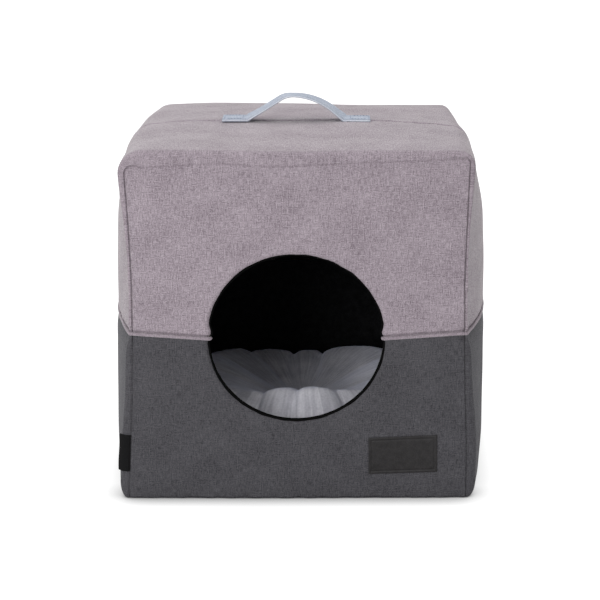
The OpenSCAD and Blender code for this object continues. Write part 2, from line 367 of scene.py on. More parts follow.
def normals_of(points: np.ndarray, centre: tuple[float, float, float] = (0, 0, 190)) -> np.ndarray:
    """Gives the outward normals of a grid of points.

    Args:
        points: A grid of places, rows by columns by three.
        centre: A place on the inner side of the grid.

    Returns:
        Unit vectors in the same grid.
    """
    normal = np.cross(np.gradient(points, axis=0), np.gradient(points, axis=1))
    normal /= np.maximum(np.linalg.norm(normal, axis=-1, keepdims=True), 1e-9)
    outward = np.sum(normal * (points - np.array(centre)), axis=-1).mean()
    return normal if outward > 0 else -normal


def distance_from(points: np.ndarray, edge: Edge) -> np.ndarray:
    """Measures along the grid's own lines how far each point is from one border.

    Args:
        points: A grid of places.
        edge: The border.

    Returns:
        Distances in the same grid.
    """
    axis, way = edge.value
    steps = np.linalg.norm(np.diff(points, axis=axis), axis=-1)
    first = np.zeros_like(np.take(steps, [0], axis=axis))
    run = np.concatenate([first, np.cumsum(steps, axis=axis)], axis=axis)
    return run if way == 1 else np.take(run, [-1], axis=axis) - run


@dataclass
class Ripple:
    """Slow waves of slack fabric over foam, as a fixed sum of plane waves."""

    seed: int
    shortest: float
    longest: float
    height: float
    count: int = 16
    waves: np.ndarray = field(init=False)
    phases: np.ndarray = field(init=False)

    def __post_init__(self) -> None:
        """Draws the waves."""
        chance = np.random.default_rng(self.seed)
        way = chance.normal(size=(self.count, 3))
        way /= np.linalg.norm(way, axis=1, keepdims=True)
        lengths = chance.uniform(self.shortest, self.longest, self.count)
        self.waves = way * (2 * np.pi / lengths)[:, None]
        self.phases = chance.uniform(0, 2 * np.pi, self.count)

    def at(self, points: np.ndarray) -> np.ndarray:
        """Returns the waves' height at each point."""
        return self.height * math.sqrt(2 / self.count) * np.sin(points @ self.waves.T + self.phases).sum(-1)


SLACK = Ripple(seed=7, shortest=70, longest=240, height=0.55)
PUCKER = Ripple(seed=11, shortest=11, longest=26, height=0.3)
PUCKER_REACH = 7.0


@dataclass(frozen=True)
class Crease:
    """A line sewn into a panel: its depth, its width and how far it lies in from the border."""

    depth: float
    width: float
    inset: float = 0.0


def sewn(
    points: np.ndarray, creases: dict[Edge, Crease], tight: dict[Edge, np.ndarray] | None = None
) -> np.ndarray:
    """Presses seams into a panel and adds the slack of its cloth.

    Args:
        points: The panel's smooth surface.
        creases: The seam along each sewn border.
        tight: Shares of a seam's depth along the rows, where it isn't even.

    Returns:
        The panel's surface, with its seams.
    """
    rise = SLACK.at(points)
    for edge, crease in creases.items():
        away = distance_from(points, edge) - crease.inset
        share = tight[edge][:, None] if tight and edge in tight else 1.0
        rise = rise - share * crease.depth * np.exp(-((away / crease.width) ** 2))
        rise = rise + PUCKER.at(points) * np.exp(-((away / PUCKER_REACH) ** 2))
    return points + normals_of(points) * rise[..., None]


def grid_faces(rows: int, columns: int, start: int, flip: bool) -> list[tuple[int, ...]]:
    """Gives the quads of a grid of points.

    Args:
        rows: Its rows.
        columns: Its columns.
        start: Number of its first point.
        flip: Whether the quads face the other way.

    Returns:
        The quads.
    """
    faces = []
    for i in range(rows - 1):
        for j in range(columns - 1):
            a = start + i * columns + j
            quad = (a, a + 1, a + columns + 1, a + columns)
            faces.append(quad[::-1] if flip else quad)
    return faces


def make_piece(
    name: str, points: np.ndarray, faces: list, finish: Finish, uv: np.ndarray | None = None
) -> Piece:
    """Makes a mesh object.

    Args:
        name: The piece's name.
        points: Its vertices in millimetres.
        faces: Its faces.
        finish: Its material.
        uv: A flat place in millimetres for each vertex.

    Returns:
        The object, in the scene.
    """
    mesh = bpy.data.meshes.new(name)
    mesh.from_pydata((FORM.settled(points) * MM).tolist(), [], faces)
    mesh.update()
    mesh.polygons.foreach_set("use_smooth", np.ones(len(mesh.polygons), bool))
    layer = mesh.uv_layers.new(name="flat")
    index = np.zeros(len(mesh.loops), int)
    mesh.loops.foreach_get("vertex_index", index)
    flat = (points[:, [0, 2]] if uv is None else uv) * MM
    layer.data.foreach_set("uv", flat[index].astype(np.float32).ravel())
    mesh.materials.append(finish.material())
    obj = bpy.data.objects.new(name, mesh)
    bpy.context.scene.collection.objects.link(obj)
    return obj


def shell(
    name: str, outer: np.ndarray, thick: float, finish: Finish, uv: np.ndarray,
    inward: np.ndarray | None = None,
) -> Piece:
    """Makes a closed panel from its outer surface.

    Args:
        name: The piece's name.
        outer: The outer surface as a grid of points.
        thick: The panel's thickness.
        finish: Its material.
        uv: Flat places of the grid's points.
        inward: Direction of the thickness, if not along the normals.

    Returns:
        The object.
    """
    rows, columns = outer.shape[:2]
    inner = outer - thick * normals_of(outer) if inward is None else outer + thick * inward
    count = rows * columns
    facing = np.cross(np.gradient(outer, axis=0), np.gradient(outer, axis=1))
    turned = np.sum(facing * (inner - outer), axis=-1).mean() < 0
    faces = grid_faces(rows, columns, 0, turned) + grid_faces(rows, columns, count, not turned)
    number = np.arange(count).reshape(rows, columns)
    rim = np.concatenate([number[0], number[1:, -1], number[-1, -2::-1], number[-2:0:-1, 0]])
    for a, b in zip(rim, np.roll(rim, -1)):
        quad = (int(a), int(b), int(b) + count, int(a) + count)
        faces.append(quad[::-1] if turned else quad)
    points = np.concatenate([outer.reshape(-1, 3), inner.reshape(-1, 3)])
    return make_piece(name, points, faces, finish, np.concatenate([uv.reshape(-1, 2)] * 2))


def swept(name: str, paths: list[np.ndarray], finish: Finish, uv_step: float = 0.0) -> Piece:
    """Makes closed bars from rings of points that follow one another.

    Args:
        name: The piece's name.
        paths: For each bar, its rings as stations by points by three.
        finish: Its material.
        uv_step: Flat width of one step round a ring, or 0 to measure it.

    Returns:
        The object.
    """
    points, faces, flats, start = [], [], [], 0
    for rings in paths:
        stations, around = rings.shape[:2]
        step = uv_step or np.linalg.norm(np.diff(rings[0], axis=0), axis=1).mean()
        flat = np.meshgrid(run_of(rings.mean(1)), np.arange(around) * step, indexing="ij")
        flats.append(np.stack(flat, -1).reshape(-1, 2))
        for i in range(stations - 1):
            a, b = start + i * around, start + (i + 1) * around
            for j in range(around):
                k = (j + 1) % around
                faces.append((a + j, a + k, b + k, b + j))
        faces.append(tuple(start + j for j in range(around))[::-1])
        faces.append(tuple(start + (stations - 1) * around + j for j in range(around)))
        points.append(rings.reshape(-1, 3))
        start += stations * around
    made = make_piece(name, np.concatenate(points), faces, finish, np.concatenate(flats))
    made.data.validate()
    return made


def tube(
    line: np.ndarray, radius: float | np.ndarray, side: np.ndarray, up: np.ndarray, around: int
) -> np.ndarray:
    """Gives the rings of a round cord.

    Args:
        line: Points along its middle.
        radius: Its radius, or one for each of them.
        side: Sideways directions there.
        up: Upward directions there.
        around: Points of each ring.

    Returns:
        The rings.
    """
    turns = np.linspace(0, 2 * np.pi, around + 1)[:-1]
    wide = np.broadcast_to(radius, len(line))[:, None]
    return np.stack([line + wide * (math.cos(t) * side + math.sin(t) * up) for t in turns], 1)


@dataclass(frozen=True)
class Stitch:
    """One stitch: a short plump bar that dips into the cloth at its ends."""

    pitch: float = 4.0
    fill: float = 0.78
    lead: float = 0.2
    radius: float = 0.55
    sink: float = 0.35
    plump: tuple = (0.25, 0.8, 1.0, 0.8, 0.25)

    def rows(self, name: str, lines: list[tuple[np.ndarray, np.ndarray]], finish: Finish) -> Piece:
        """Makes rows of stitches.

        Args:
            name: The piece's name.
            lines: For each row, the points that it follows and the outward normals there.
            finish: Its material.

        Returns:
            The object.
        """
        bars = []
        girth = self.radius * np.array(self.plump)
        for path, normal in lines:
            run = run_of(path)
            for begin in np.arange(self.pitch * self.lead, run[-1] - self.pitch, self.pitch):
                at = begin + np.linspace(0, self.pitch * self.fill, len(girth))
                spot, up = picked(path, run, at), picked(normal, run, at)
                way = np.gradient(spot, axis=0)
                way /= np.linalg.norm(way, axis=1, keepdims=True)
                bars.append(tube(spot + up * (girth - self.sink)[:, None], girth, np.cross(way, up), up, 6))
        return swept(name, bars, finish)


# The soft form


LEVELS = np.arange(-40, 460)


@dataclass
class SoftForm:
    """The outside of the stuffed body: square at its stiff floor, swollen at the waist, round at the roof.

    The tuples from seam_xs to leans are profiles over heights. Pairs belong to the left and the right side.
    """

    heights: tuple = (0, 60, 120, 172, 190, 250, 310, 350, 378, 410)
    seam_xs: tuple = (190, 188.5, 185.5, 184, 183.3, 182.5, 184, 185.8, 187, 187)
    seam_ys: tuple = (196, 195.5, 195, 194.6, 194.5, 194.5, 194, 193, 192, 192)
    corner_rs: tuple = (12.5, 12, 10, 8.5, 3.5, 3, 4, 6.5, 7.5, 7.5)
    side_swells: tuple = (10, 18, 24, 26, 30, 31.5, 26, 13, 4.5, 2.5)
    front_swells: tuple = (1.5, 3.5, 5, 5.8, 6, 6, 5, 4.5, 4, 4)
    leans: tuple = (-2, -0.8, -0.5, -0.5, -0.5, -1.1, -1.4, -1.9, -2.4, -2.4)
    smooth_over: int = 43
    corner_smooth_over: int = 21
    floor_r: float = 20.0
    floor_in: float = 9.0
    floor_front: float = 0.4
    least_r: float = 3.0
    waist_z: float = 192.0
    waist_door_z: float = 187.4
    door_x: float = -2.8
    door_z: float = 188.7
    door_rx: float = 96.6
    door_rz: float = 93.8
    door_flare: float = 4.0
    flare_over: float = 7.0
    roof_z: float = 396.0
    roof_side_rs: tuple = (29.0, 25.0)
    roof_corner_rs: tuple = (25.0, 18.0)
    roof_edge_r: float = 10.0
    seam_squares: tuple = (1.0, 3.0)
    crown: float = 5.5
    corner_sinks: tuple = (5.0, -3.0)
    sink_from: tuple = (110.0, 90.0, 320.0)
    sink_over: tuple = (85.0, 105.0, 75.0)
    skew: float = 0.02
    skew_over: float = 190.0
    roof_slope: float = 0.014
    slope_from: float = -40.0
    slope_over: float = 230.0
    hood_top_z: float = 372.3
    seam_marks: tuple = (-185, -95, -28, 70, 185)
    seam_drops: tuple = (18, 12, 17, 12, 9)
    roof_ease: float = 0.55  # how much shallower the edge seam is along the roof than up the corners
    tables: dict = field(init=False, default_factory=dict)

    def __post_init__(self) -> None:
        """Smooths the profiles, given at a few heights, to one value for each millimetre."""
        for name in ("seam_xs", "seam_ys", "corner_rs", "side_swells", "front_swells", "leans"):
            window = np.hanning(self.corner_smooth_over if name == "corner_rs" else self.smooth_over)
            plain = np.pad(np.interp(LEVELS, self.heights, getattr(self, name)), len(window) // 2, "edge")
            self.tables[name] = np.convolve(plain, window / window.sum(), "valid")
        drawn = self.floor_inset(LEVELS) - self.tables["corner_rs"] + self.least_r
        self.tables["seam_xs"] -= np.maximum(drawn, 0) * (LEVELS < self.floor_r)

    def at(self, name: str, z: np.ndarray) -> np.ndarray:
        """Returns a profile's value at each height."""
        return np.interp(z, LEVELS, self.tables[name])

    def floor_inset(self, z: np.ndarray) -> np.ndarray:
        """Returns how far the rounded lower edge draws in at each height."""
        lift = np.clip(1 - np.asarray(z, float) / self.floor_r, 0, 1)
        return self.floor_in * (1 - np.sqrt(1 - lift**2))

    def settled(self, points: np.ndarray) -> np.ndarray:
        """Moves points as the soft body has settled: a slight lean, and the rear corners of the roof sunk.

        Args:
            points: Points of a piece.

        Returns:
            The moved points.
        """
        x, y, z = points.T
        start, over = np.array([self.sink_from, self.sink_over])[..., None]
        near = np.clip((np.stack([np.abs(x), y, z]) - start) / over, 0, 1)
        sink = np.prod(near**1.5, axis=0) * np.where(x < 0, *self.corner_sinks)
        askew = self.skew * x * np.clip(-y / self.skew_over, 0, 1)
        slope = self.roof_slope * x * np.clip((y - self.slope_from) / self.slope_over, 0, 1) * near[2]
        return points + np.stack([self.at("leans", z), askew, -slope - sink], -1)

    def front_y(self, x: np.ndarray, z: np.ndarray) -> np.ndarray:
        """Gives the front's depth.

        Args:
            x: Places to the right.
            z: Heights.

        Returns:
            Y at each place.
        """
        share = x / self.at("seam_xs", z)
        stuffed = self.at("seam_ys", z) + self.at("front_swells", z) * (1 - share**2)
        return -stuffed + self.floor_front * self.floor_inset(z)

    def on_front(self, x: np.ndarray, z: np.ndarray, back: bool = False) -> np.ndarray:
        """Returns points on the front, or on the back."""
        y = self.front_y(x, z)
        return np.stack([x, -y if back else y, z], -1)

    def waist(self, x: np.ndarray) -> np.ndarray:
        """Returns the height of the front's waist seam, which sinks towards the doorway."""
        reach = [self.door_rx, self.at("seam_xs", self.waist_z) - 4]
        return np.interp(np.abs(x - self.door_x), reach, [self.waist_door_z, self.waist_z])

    def corner(self, z: np.ndarray) -> tuple[np.ndarray, np.ndarray]:
        """Gives the round corners of the body at each height.

        Args:
            z: Heights.

        Returns:
            The corner's radius and the depth at which it meets the side.
        """
        inset = self.floor_inset(z)
        reach = np.maximum(self.at("corner_rs", z) - inset, self.least_r)
        return reach, self.at("seam_ys", z) - self.floor_front * inset - reach

    def on_side(self, turn: np.ndarray, z: np.ndarray, side: int) -> np.ndarray:
        """Gives points on a side wall and the round corners at both its ends.

        Args:
            turn: From 0 to 1 round the front corner, 1 to 2 along the side, 2 to 3 round the back corner.
            z: Heights.
            side: 1 for the right side and -1 for the left one.

        Returns:
            The points.
        """
        reach, deep = self.corner(z)
        front, back = np.clip(turn, 0, 1) * np.pi / 2, np.clip(turn - 2, 0, 1) * np.pi / 2
        along = 2 * np.clip(turn - 1, 0, 1) - 1
        x = self.at("seam_xs", z) + reach * np.where(turn < 1, np.sin(front), np.cos(back))
        x = x + self.at("side_swells", z) * (1 - along**2)
        y = along * deep + reach * np.where(turn < 1, -np.cos(front), np.sin(back))
        return np.stack([side * x, y, z], -1)

    def side_x(self, y: np.ndarray, z: np.ndarray) -> np.ndarray:
        """Gives how far the side walls stand out from the middle.

        Args:
            y: Depths.
            z: Heights.

        Returns:
            Half the body's width at each place.
        """
        reach, deep = self.corner(z)
        share = np.clip(np.abs(y) / deep, 0, 1)
        return self.at("seam_xs", z) + reach + self.at("side_swells", z) * (1 - share**2)

    def outline(self, z: float, inset: float) -> np.ndarray:
        """Gives the body's outline at one height, as seen from above.

        Args:
            z: The height.
            inset: How far inside the covers.

        Returns:
            Places round the body, from its front left corner.
        """
        x = np.linspace(-1, 1, 60)[1:-1] * self.at("seam_xs", z)
        level = np.full(len(x), z)
        turn = np.concatenate([np.linspace(0, 1, 6)[:-1], np.linspace(1, 2, 50), np.linspace(2, 3, 6)[1:]])
        right = self.on_side(turn, np.full(len(turn), z), 1)
        back = self.on_front(x[::-1], level, True)
        ring = np.concatenate([self.on_front(x, level), right, back, right[::-1] * [-1, 1, 1]])[:, :2]
        return ring * (1 - inset / np.abs(ring).max(1, keepdims=True))

    def band_half(self, rows: int = 64) -> tuple[np.ndarray, np.ndarray, np.ndarray]:
        """Gives half the hood's band, in front of its middle seam: up the left side, over the roof and down.

        Args:
            rows: Points along each side wall.

        Returns:
            The surface, from the front seam to the middle seam along its columns; that front seam; and how
            tight it is.
        """
        corner_z = self.roof_z - max(self.roof_side_rs)
        climb = graded(rows)
        wall = self.waist_z + (corner_z - self.waist_z) * climb
        bend = np.linspace(0, np.pi / 2, 12)[1:-1]
        roof = np.linspace(-1, 1, 100)
        high = 2 * len(bend) + len(roof)
        z = np.concatenate([wall, np.full(high, corner_z), wall[::-1]])
        level = np.full(len(roof), np.pi / 2)
        angle = np.concatenate([np.zeros(rows), bend, level, np.pi - bend[::-1], np.full(rows, np.pi)])
        up = np.concatenate([climb, np.ones(high), climb[::-1]])
        ends = np.ones(rows + len(bend))
        share = np.concatenate([-ends, roof, ends])
        normal = np.stack([-np.cos(angle), np.zeros(len(angle)), np.sin(angle)], -1)
        over = np.sin(angle) ** 2
        side_r, corner_r, square = (
            np.where(share < 0, *pair) for pair in (self.roof_side_rs, self.roof_corner_rs, self.seam_squares)
        )
        seam_x, seam_y, round_r, swell = (
            self.at(name, z) for name in ("seam_xs", "seam_ys", "corner_rs", "side_swells")
        )
        window = np.hanning(23)[1:-1]
        drop = np.interp(share * self.seam_marks[-1], self.seam_marks, self.seam_drops)
        drop = np.convolve(np.pad(drop, len(window) // 2, "edge"), window / window.sum(), "valid")
        inset = (1 - over) * round_r + over * drop - 4 * square * over * (1 - over)
        radius = np.minimum((1 - over) * (round_r - 2) + over * self.roof_edge_r, inset - 1.5)

        def section(y: np.ndarray) -> np.ndarray:
            """Gives the band at full size.

            Args:
                y: The depth of each of its points.

            Returns:
                The points.
            """
            deep = np.clip(np.abs(y) / (seam_y - round_r), 0, 1)
            bent = side_r - (side_r - corner_r) * deep**4
            arm = seam_x + round_r + swell * (1 - deep**2) - bent * (1 - np.abs(np.cos(angle)))
            lift = self.crown * (1 - share**4) * (1 - deep**2) * (over > 0.999)
            height = self.waist_z + up * (self.roof_z - bent - self.waist_z) + bent * np.sin(angle) + lift
            return np.stack([share * arm, y, height], -1)

        flat = section(-seam_y) - normal * inset[:, None]
        front = self.front_y(flat[:, 0], flat[:, 2])
        columns = [(inset + (radius - inset) * step, front) for step in graded(10)[:-1]]
        for turn in np.linspace(0, np.pi / 2, 9)[:-1]:
            columns.append((radius * (1 - math.sin(turn)), front + radius * (1 - math.cos(turn))))
        columns += [(0 * inset, (front + radius) * (1 - step)) for step in graded(64)]
        surface = np.stack([section(y) - normal * i[:, None] for i, y in columns], 1)
        return surface, surface[:, 0], 1 - self.roof_ease * over

    def door_rim(self, angle: np.ndarray, grow: float = 0.0) -> np.ndarray:
        """Gives places on the doorway's edge, seen from the front.

        Args:
            angle: Turns from the right, upward.
            grow: How far outside the edge.

        Returns:
            The places; the edge is drawn in where the waist seam meets it.
        """
        x, z = (self.door_rx + grow) * np.cos(angle), self.door_z + (self.door_rz + grow) * np.sin(angle)
        above = (z - self.waist_door_z - self.flare_over) / self.flare_over
        x = x - np.sign(x) * self.door_flare * np.exp(-(above**2))
        return np.stack([self.door_x + x, z], -1)

    def door_ends(self, upper: bool) -> tuple[float, float]:
        """Returns the angles at which the waist seam meets the doorway, at the right and at the left."""
        start = math.asin((self.waist_door_z - self.door_z) / self.door_rz)
        return (start, math.pi - start) if upper else (start, -math.pi - start)

    def door_fan(self, border: np.ndarray, grow: float = 0.0, columns: int = 44) -> np.ndarray:
        """Spreads a front panel between the doorway and its border.

        Args:
            border: Places round the panel, seen from the front, from one end of the waist seam to the other.
            grow: How far outside the doorway's edge it starts.
            columns: Points from the doorway to the border.

        Returns:
            Places seen from the front, as a grid.
        """
        run = run_of(border)
        first, last = self.door_ends(bool(border[len(border) // 2, 1] > self.door_z))
        if border[0, 0] < 0:
            first, last = last, first
        rim = self.door_rim(first + (last - first) * run / run[-1], grow)
        return rim[:, None] + (border - rim)[:, None] * graded(columns, 0.85)[None, :, None]


FORM = SoftForm()
SEAM = Crease(2.3, 0.8)
TOP_SEAM = Crease(SEAM.depth * (1 - FORM.roof_ease), SEAM.width)
RIDGE = Crease(3.6, 1.8)
ROLL = Crease(4.5, 2.4)
HEM_LINE = Crease(2.6, 1.1, 4.2)


# The sub-assemblies


@dataclass
class Maker:
    """What every sub-assembly shares: the list of its pieces, and how each is tied to solids and bodies."""

    pieces: list = field(default_factory=list)

    def keep(
        self, obj: Piece, nodes: list[str], body: Body, onto: Body | None = None, zs: tuple = ()
    ) -> Piece:
        """Adds a piece that rides on one body, or, where onto is given, is baked in place and rides on none.

        Args:
            obj: The piece.
            nodes: The solids that it stands for.
            body: The body that it rides on, where onto is not given.
            onto: Any body here keeps the piece off all bodies, baked in place.
            zs: Not used.

        Returns:
            The piece.
        """
        if nodes:
            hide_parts(*nodes)
        if onto:
            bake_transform(obj)
        else:
            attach(obj, body.value)
        self.pieces.append(obj)
        return obj


@dataclass
class Wall(Maker):
    """What the four walls share: their covers, and how a layer rides on the base or, in the hood, is baked in
    place on no body.
    """

    cover_t: float = 1.2
    finish: Finish = CHARCOAL
    hood: bool = False

    def seat(self, obj: Piece, nodes: list[str], hood: bool) -> Piece:
        """Adds a wall's piece: on the base, or, where it is part of the hood, baked in place on no body.

        Args:
            obj: The piece.
            nodes: The solids that it stands for.
            hood: Whether it is part of the hood.

        Returns:
            The piece.
        """
        if hood:
            return self.keep(obj, nodes, Body.BASE, Body.ROOF, (FORM.waist_z, FORM.hood_top_z))
        return self.keep(obj, nodes, Body.BASE)

    def cover(
        self, name: str, outer: np.ndarray, flat: np.ndarray, nodes: list[str], foam: str,
        cut: tuple[float, float], area: float | None = None,
    ) -> None:
        """Builds one cover, a sheet that is stretched over its foam.

        Args:
            name: The piece's name.
            outer: Its outer surface as a grid of points.
            flat: Flat places of these points.
            nodes: The solids that it stands for.
            foam: Not used.
            cut: Not used.
            area: Not used.
        """
        made = self.seat(shell(name, outer, self.cover_t, self.finish, flat), nodes, self.hood)


@dataclass
class BaseTub(Wall):
    """The charcoal covers below the waist seam."""

    sink_z: float = 1.0

    def front_border(self) -> np.ndarray:
        """Gives the front panel's border.

        Returns:
            Places from the right end of the waist seam, round below, to the left end.
        """
        z = np.linspace(FORM.waist_z, self.sink_z, 56)
        right = np.stack([FORM.at("seam_xs", z), z], -1)
        below = np.linspace(right[-1, 0], -right[-1, 0], 104)[1:-1]
        left = right[::-1] * [-1, 1]
        return np.concatenate([right, np.stack([below, np.full(len(below), self.sink_z)], -1), left])

    def build(self) -> list[Piece]:
        """Builds the four covers.

        Returns:
            The pieces.
        """
        flat = FORM.door_fan(self.front_border())
        seams = {Edge.FIRST_COLUMN: ROLL, Edge.LAST_COLUMN: SEAM}
        outer = sewn(FORM.on_front(flat[..., 0], flat[..., 1]), seams)
        wide, deep = (0.392, 0.192), (0.4, 0.192)
        self.cover("lower_front_panel", outer, flat, ["lower_front_cover"], "lower_front_foam", wide, 0.0595)
        rise = self.sink_z + (FORM.waist_z - self.sink_z) * graded(50, 0.6)
        share, z = np.meshgrid(graded(100, 0.6) * 2 - 1, rise)
        x = share * FORM.at("seam_xs", z)
        seams = {Edge.FIRST_COLUMN: SEAM, Edge.LAST_COLUMN: SEAM}
        outer, flat = sewn(FORM.on_front(x, z, True), seams), np.stack([x, z], -1)
        self.cover("lower_back_panel", outer, flat, ["lower_back_cover"], "lower_back_foam", wide)
        turn = np.concatenate([np.linspace(0, 1, 12)[:-1], 1 + graded(90, 0.3), np.linspace(2, 3, 12)[1:]])
        turn, z = np.meshgrid(turn, rise)
        for side, word in SIDES:
            points = FORM.on_side(turn, z, side)
            flat = np.stack([distance_from(points, Edge.FIRST_COLUMN), z], -1)
            names = [f"lower_{word}_{part}" for part in ("panel", "cover", "foam")]
            self.cover(names[0], sewn(points, seams), flat, names[1:2], names[2], deep)
        return self.pieces


@dataclass
class Hood(Wall):
    """The heather covers above the waist seam: front, back, and the band over the roof in two halves."""

    finish: Finish = HEATHER
    hood: bool = True

    def filled(self, border: np.ndarray) -> np.ndarray:
        """Spreads the back panel between the seams at its two sides and its top and the straight waist seam.

        Args:
            border: Places along the seam, from the waist up the left side, across and down the right side.

        Returns:
            Places seen from the front, as a grid from the waist upward.
        """
        rows, columns = graded(60, 0.6), graded(100, 0.6)

        def even(line: np.ndarray, shares: np.ndarray) -> np.ndarray:
            """Returns the places at shares of a line's length."""
            run = run_of(line)
            return picked(line, run, shares * run[-1])

        steps = np.abs(np.diff(border, axis=0))
        level = np.flatnonzero(steps[:, 0] > steps[:, 1])
        first, last = level[0], level[-1] + 1
        left, right = even(border[: first + 1], rows), even(border[: last - 1 : -1], rows)
        top, low = even(border[first : last + 1], columns), even(border[[0, -1]], columns)
        u, v = columns[None, :, None], rows[:, None, None]
        corners = (1 - v) * ((1 - u) * low[0] + u * low[-1]) + v * ((1 - u) * top[0] + u * top[-1])
        return (1 - v) * low + v * top + (1 - u) * left[:, None] + u * right[:, None] - corners

    def build(self) -> list[Piece]:
        """Builds the covers.

        Returns:
            The pieces.
        """
        band, seam, tight = FORM.band_half()
        hems = {Edge.FIRST_ROW: HEM_LINE, Edge.LAST_ROW: HEM_LINE}
        for way, word in ((1, "front"), (-1, "rear")):
            points = band * [1, way, 1]
            seams = {Edge.FIRST_COLUMN: SEAM, Edge.LAST_COLUMN: RIDGE, **hems}
            outer = sewn(points, seams, {Edge.FIRST_COLUMN: tight})
            along = distance_from(points, Edge.FIRST_ROW)[:, -1:] * np.ones(points.shape[1])
            flat = np.stack([along, distance_from(points, Edge.FIRST_COLUMN)], -1)
            nodes = [f"roof_{word}_cover", f"hood_left_{word}_cover", f"hood_right_{word}_cover"]
            self.cover(f"hood_{word}_band", outer, flat, nodes, f"roof_{word}_foam", (0.205, 0.79))
        border = seam[:, [0, 2]]
        flat = FORM.door_fan(border)
        seams = {Edge.FIRST_COLUMN: ROLL, Edge.LAST_COLUMN: SEAM, **hems}
        outer = sewn(FORM.on_front(flat[..., 0], flat[..., 1]), seams, {Edge.LAST_COLUMN: tight})
        nodes, foam = ["hood_front_cover"], "hood_front_foam"
        self.cover("hood_front_panel", outer, flat, nodes, foam, (0.375, 0.19), 0.0555)
        flat = self.filled(border)
        seams = {Edge.FIRST_COLUMN: SEAM, Edge.LAST_COLUMN: SEAM}
        seams |= {Edge.LAST_ROW: TOP_SEAM, Edge.FIRST_ROW: HEM_LINE}
        outer = sewn(FORM.on_front(flat[..., 0], flat[..., 1], True), seams)
        self.cover("hood_back_panel", outer, flat, ["hood_back_cover"], "hood_back_foam", (0.375, 0.188))
        return self.pieces


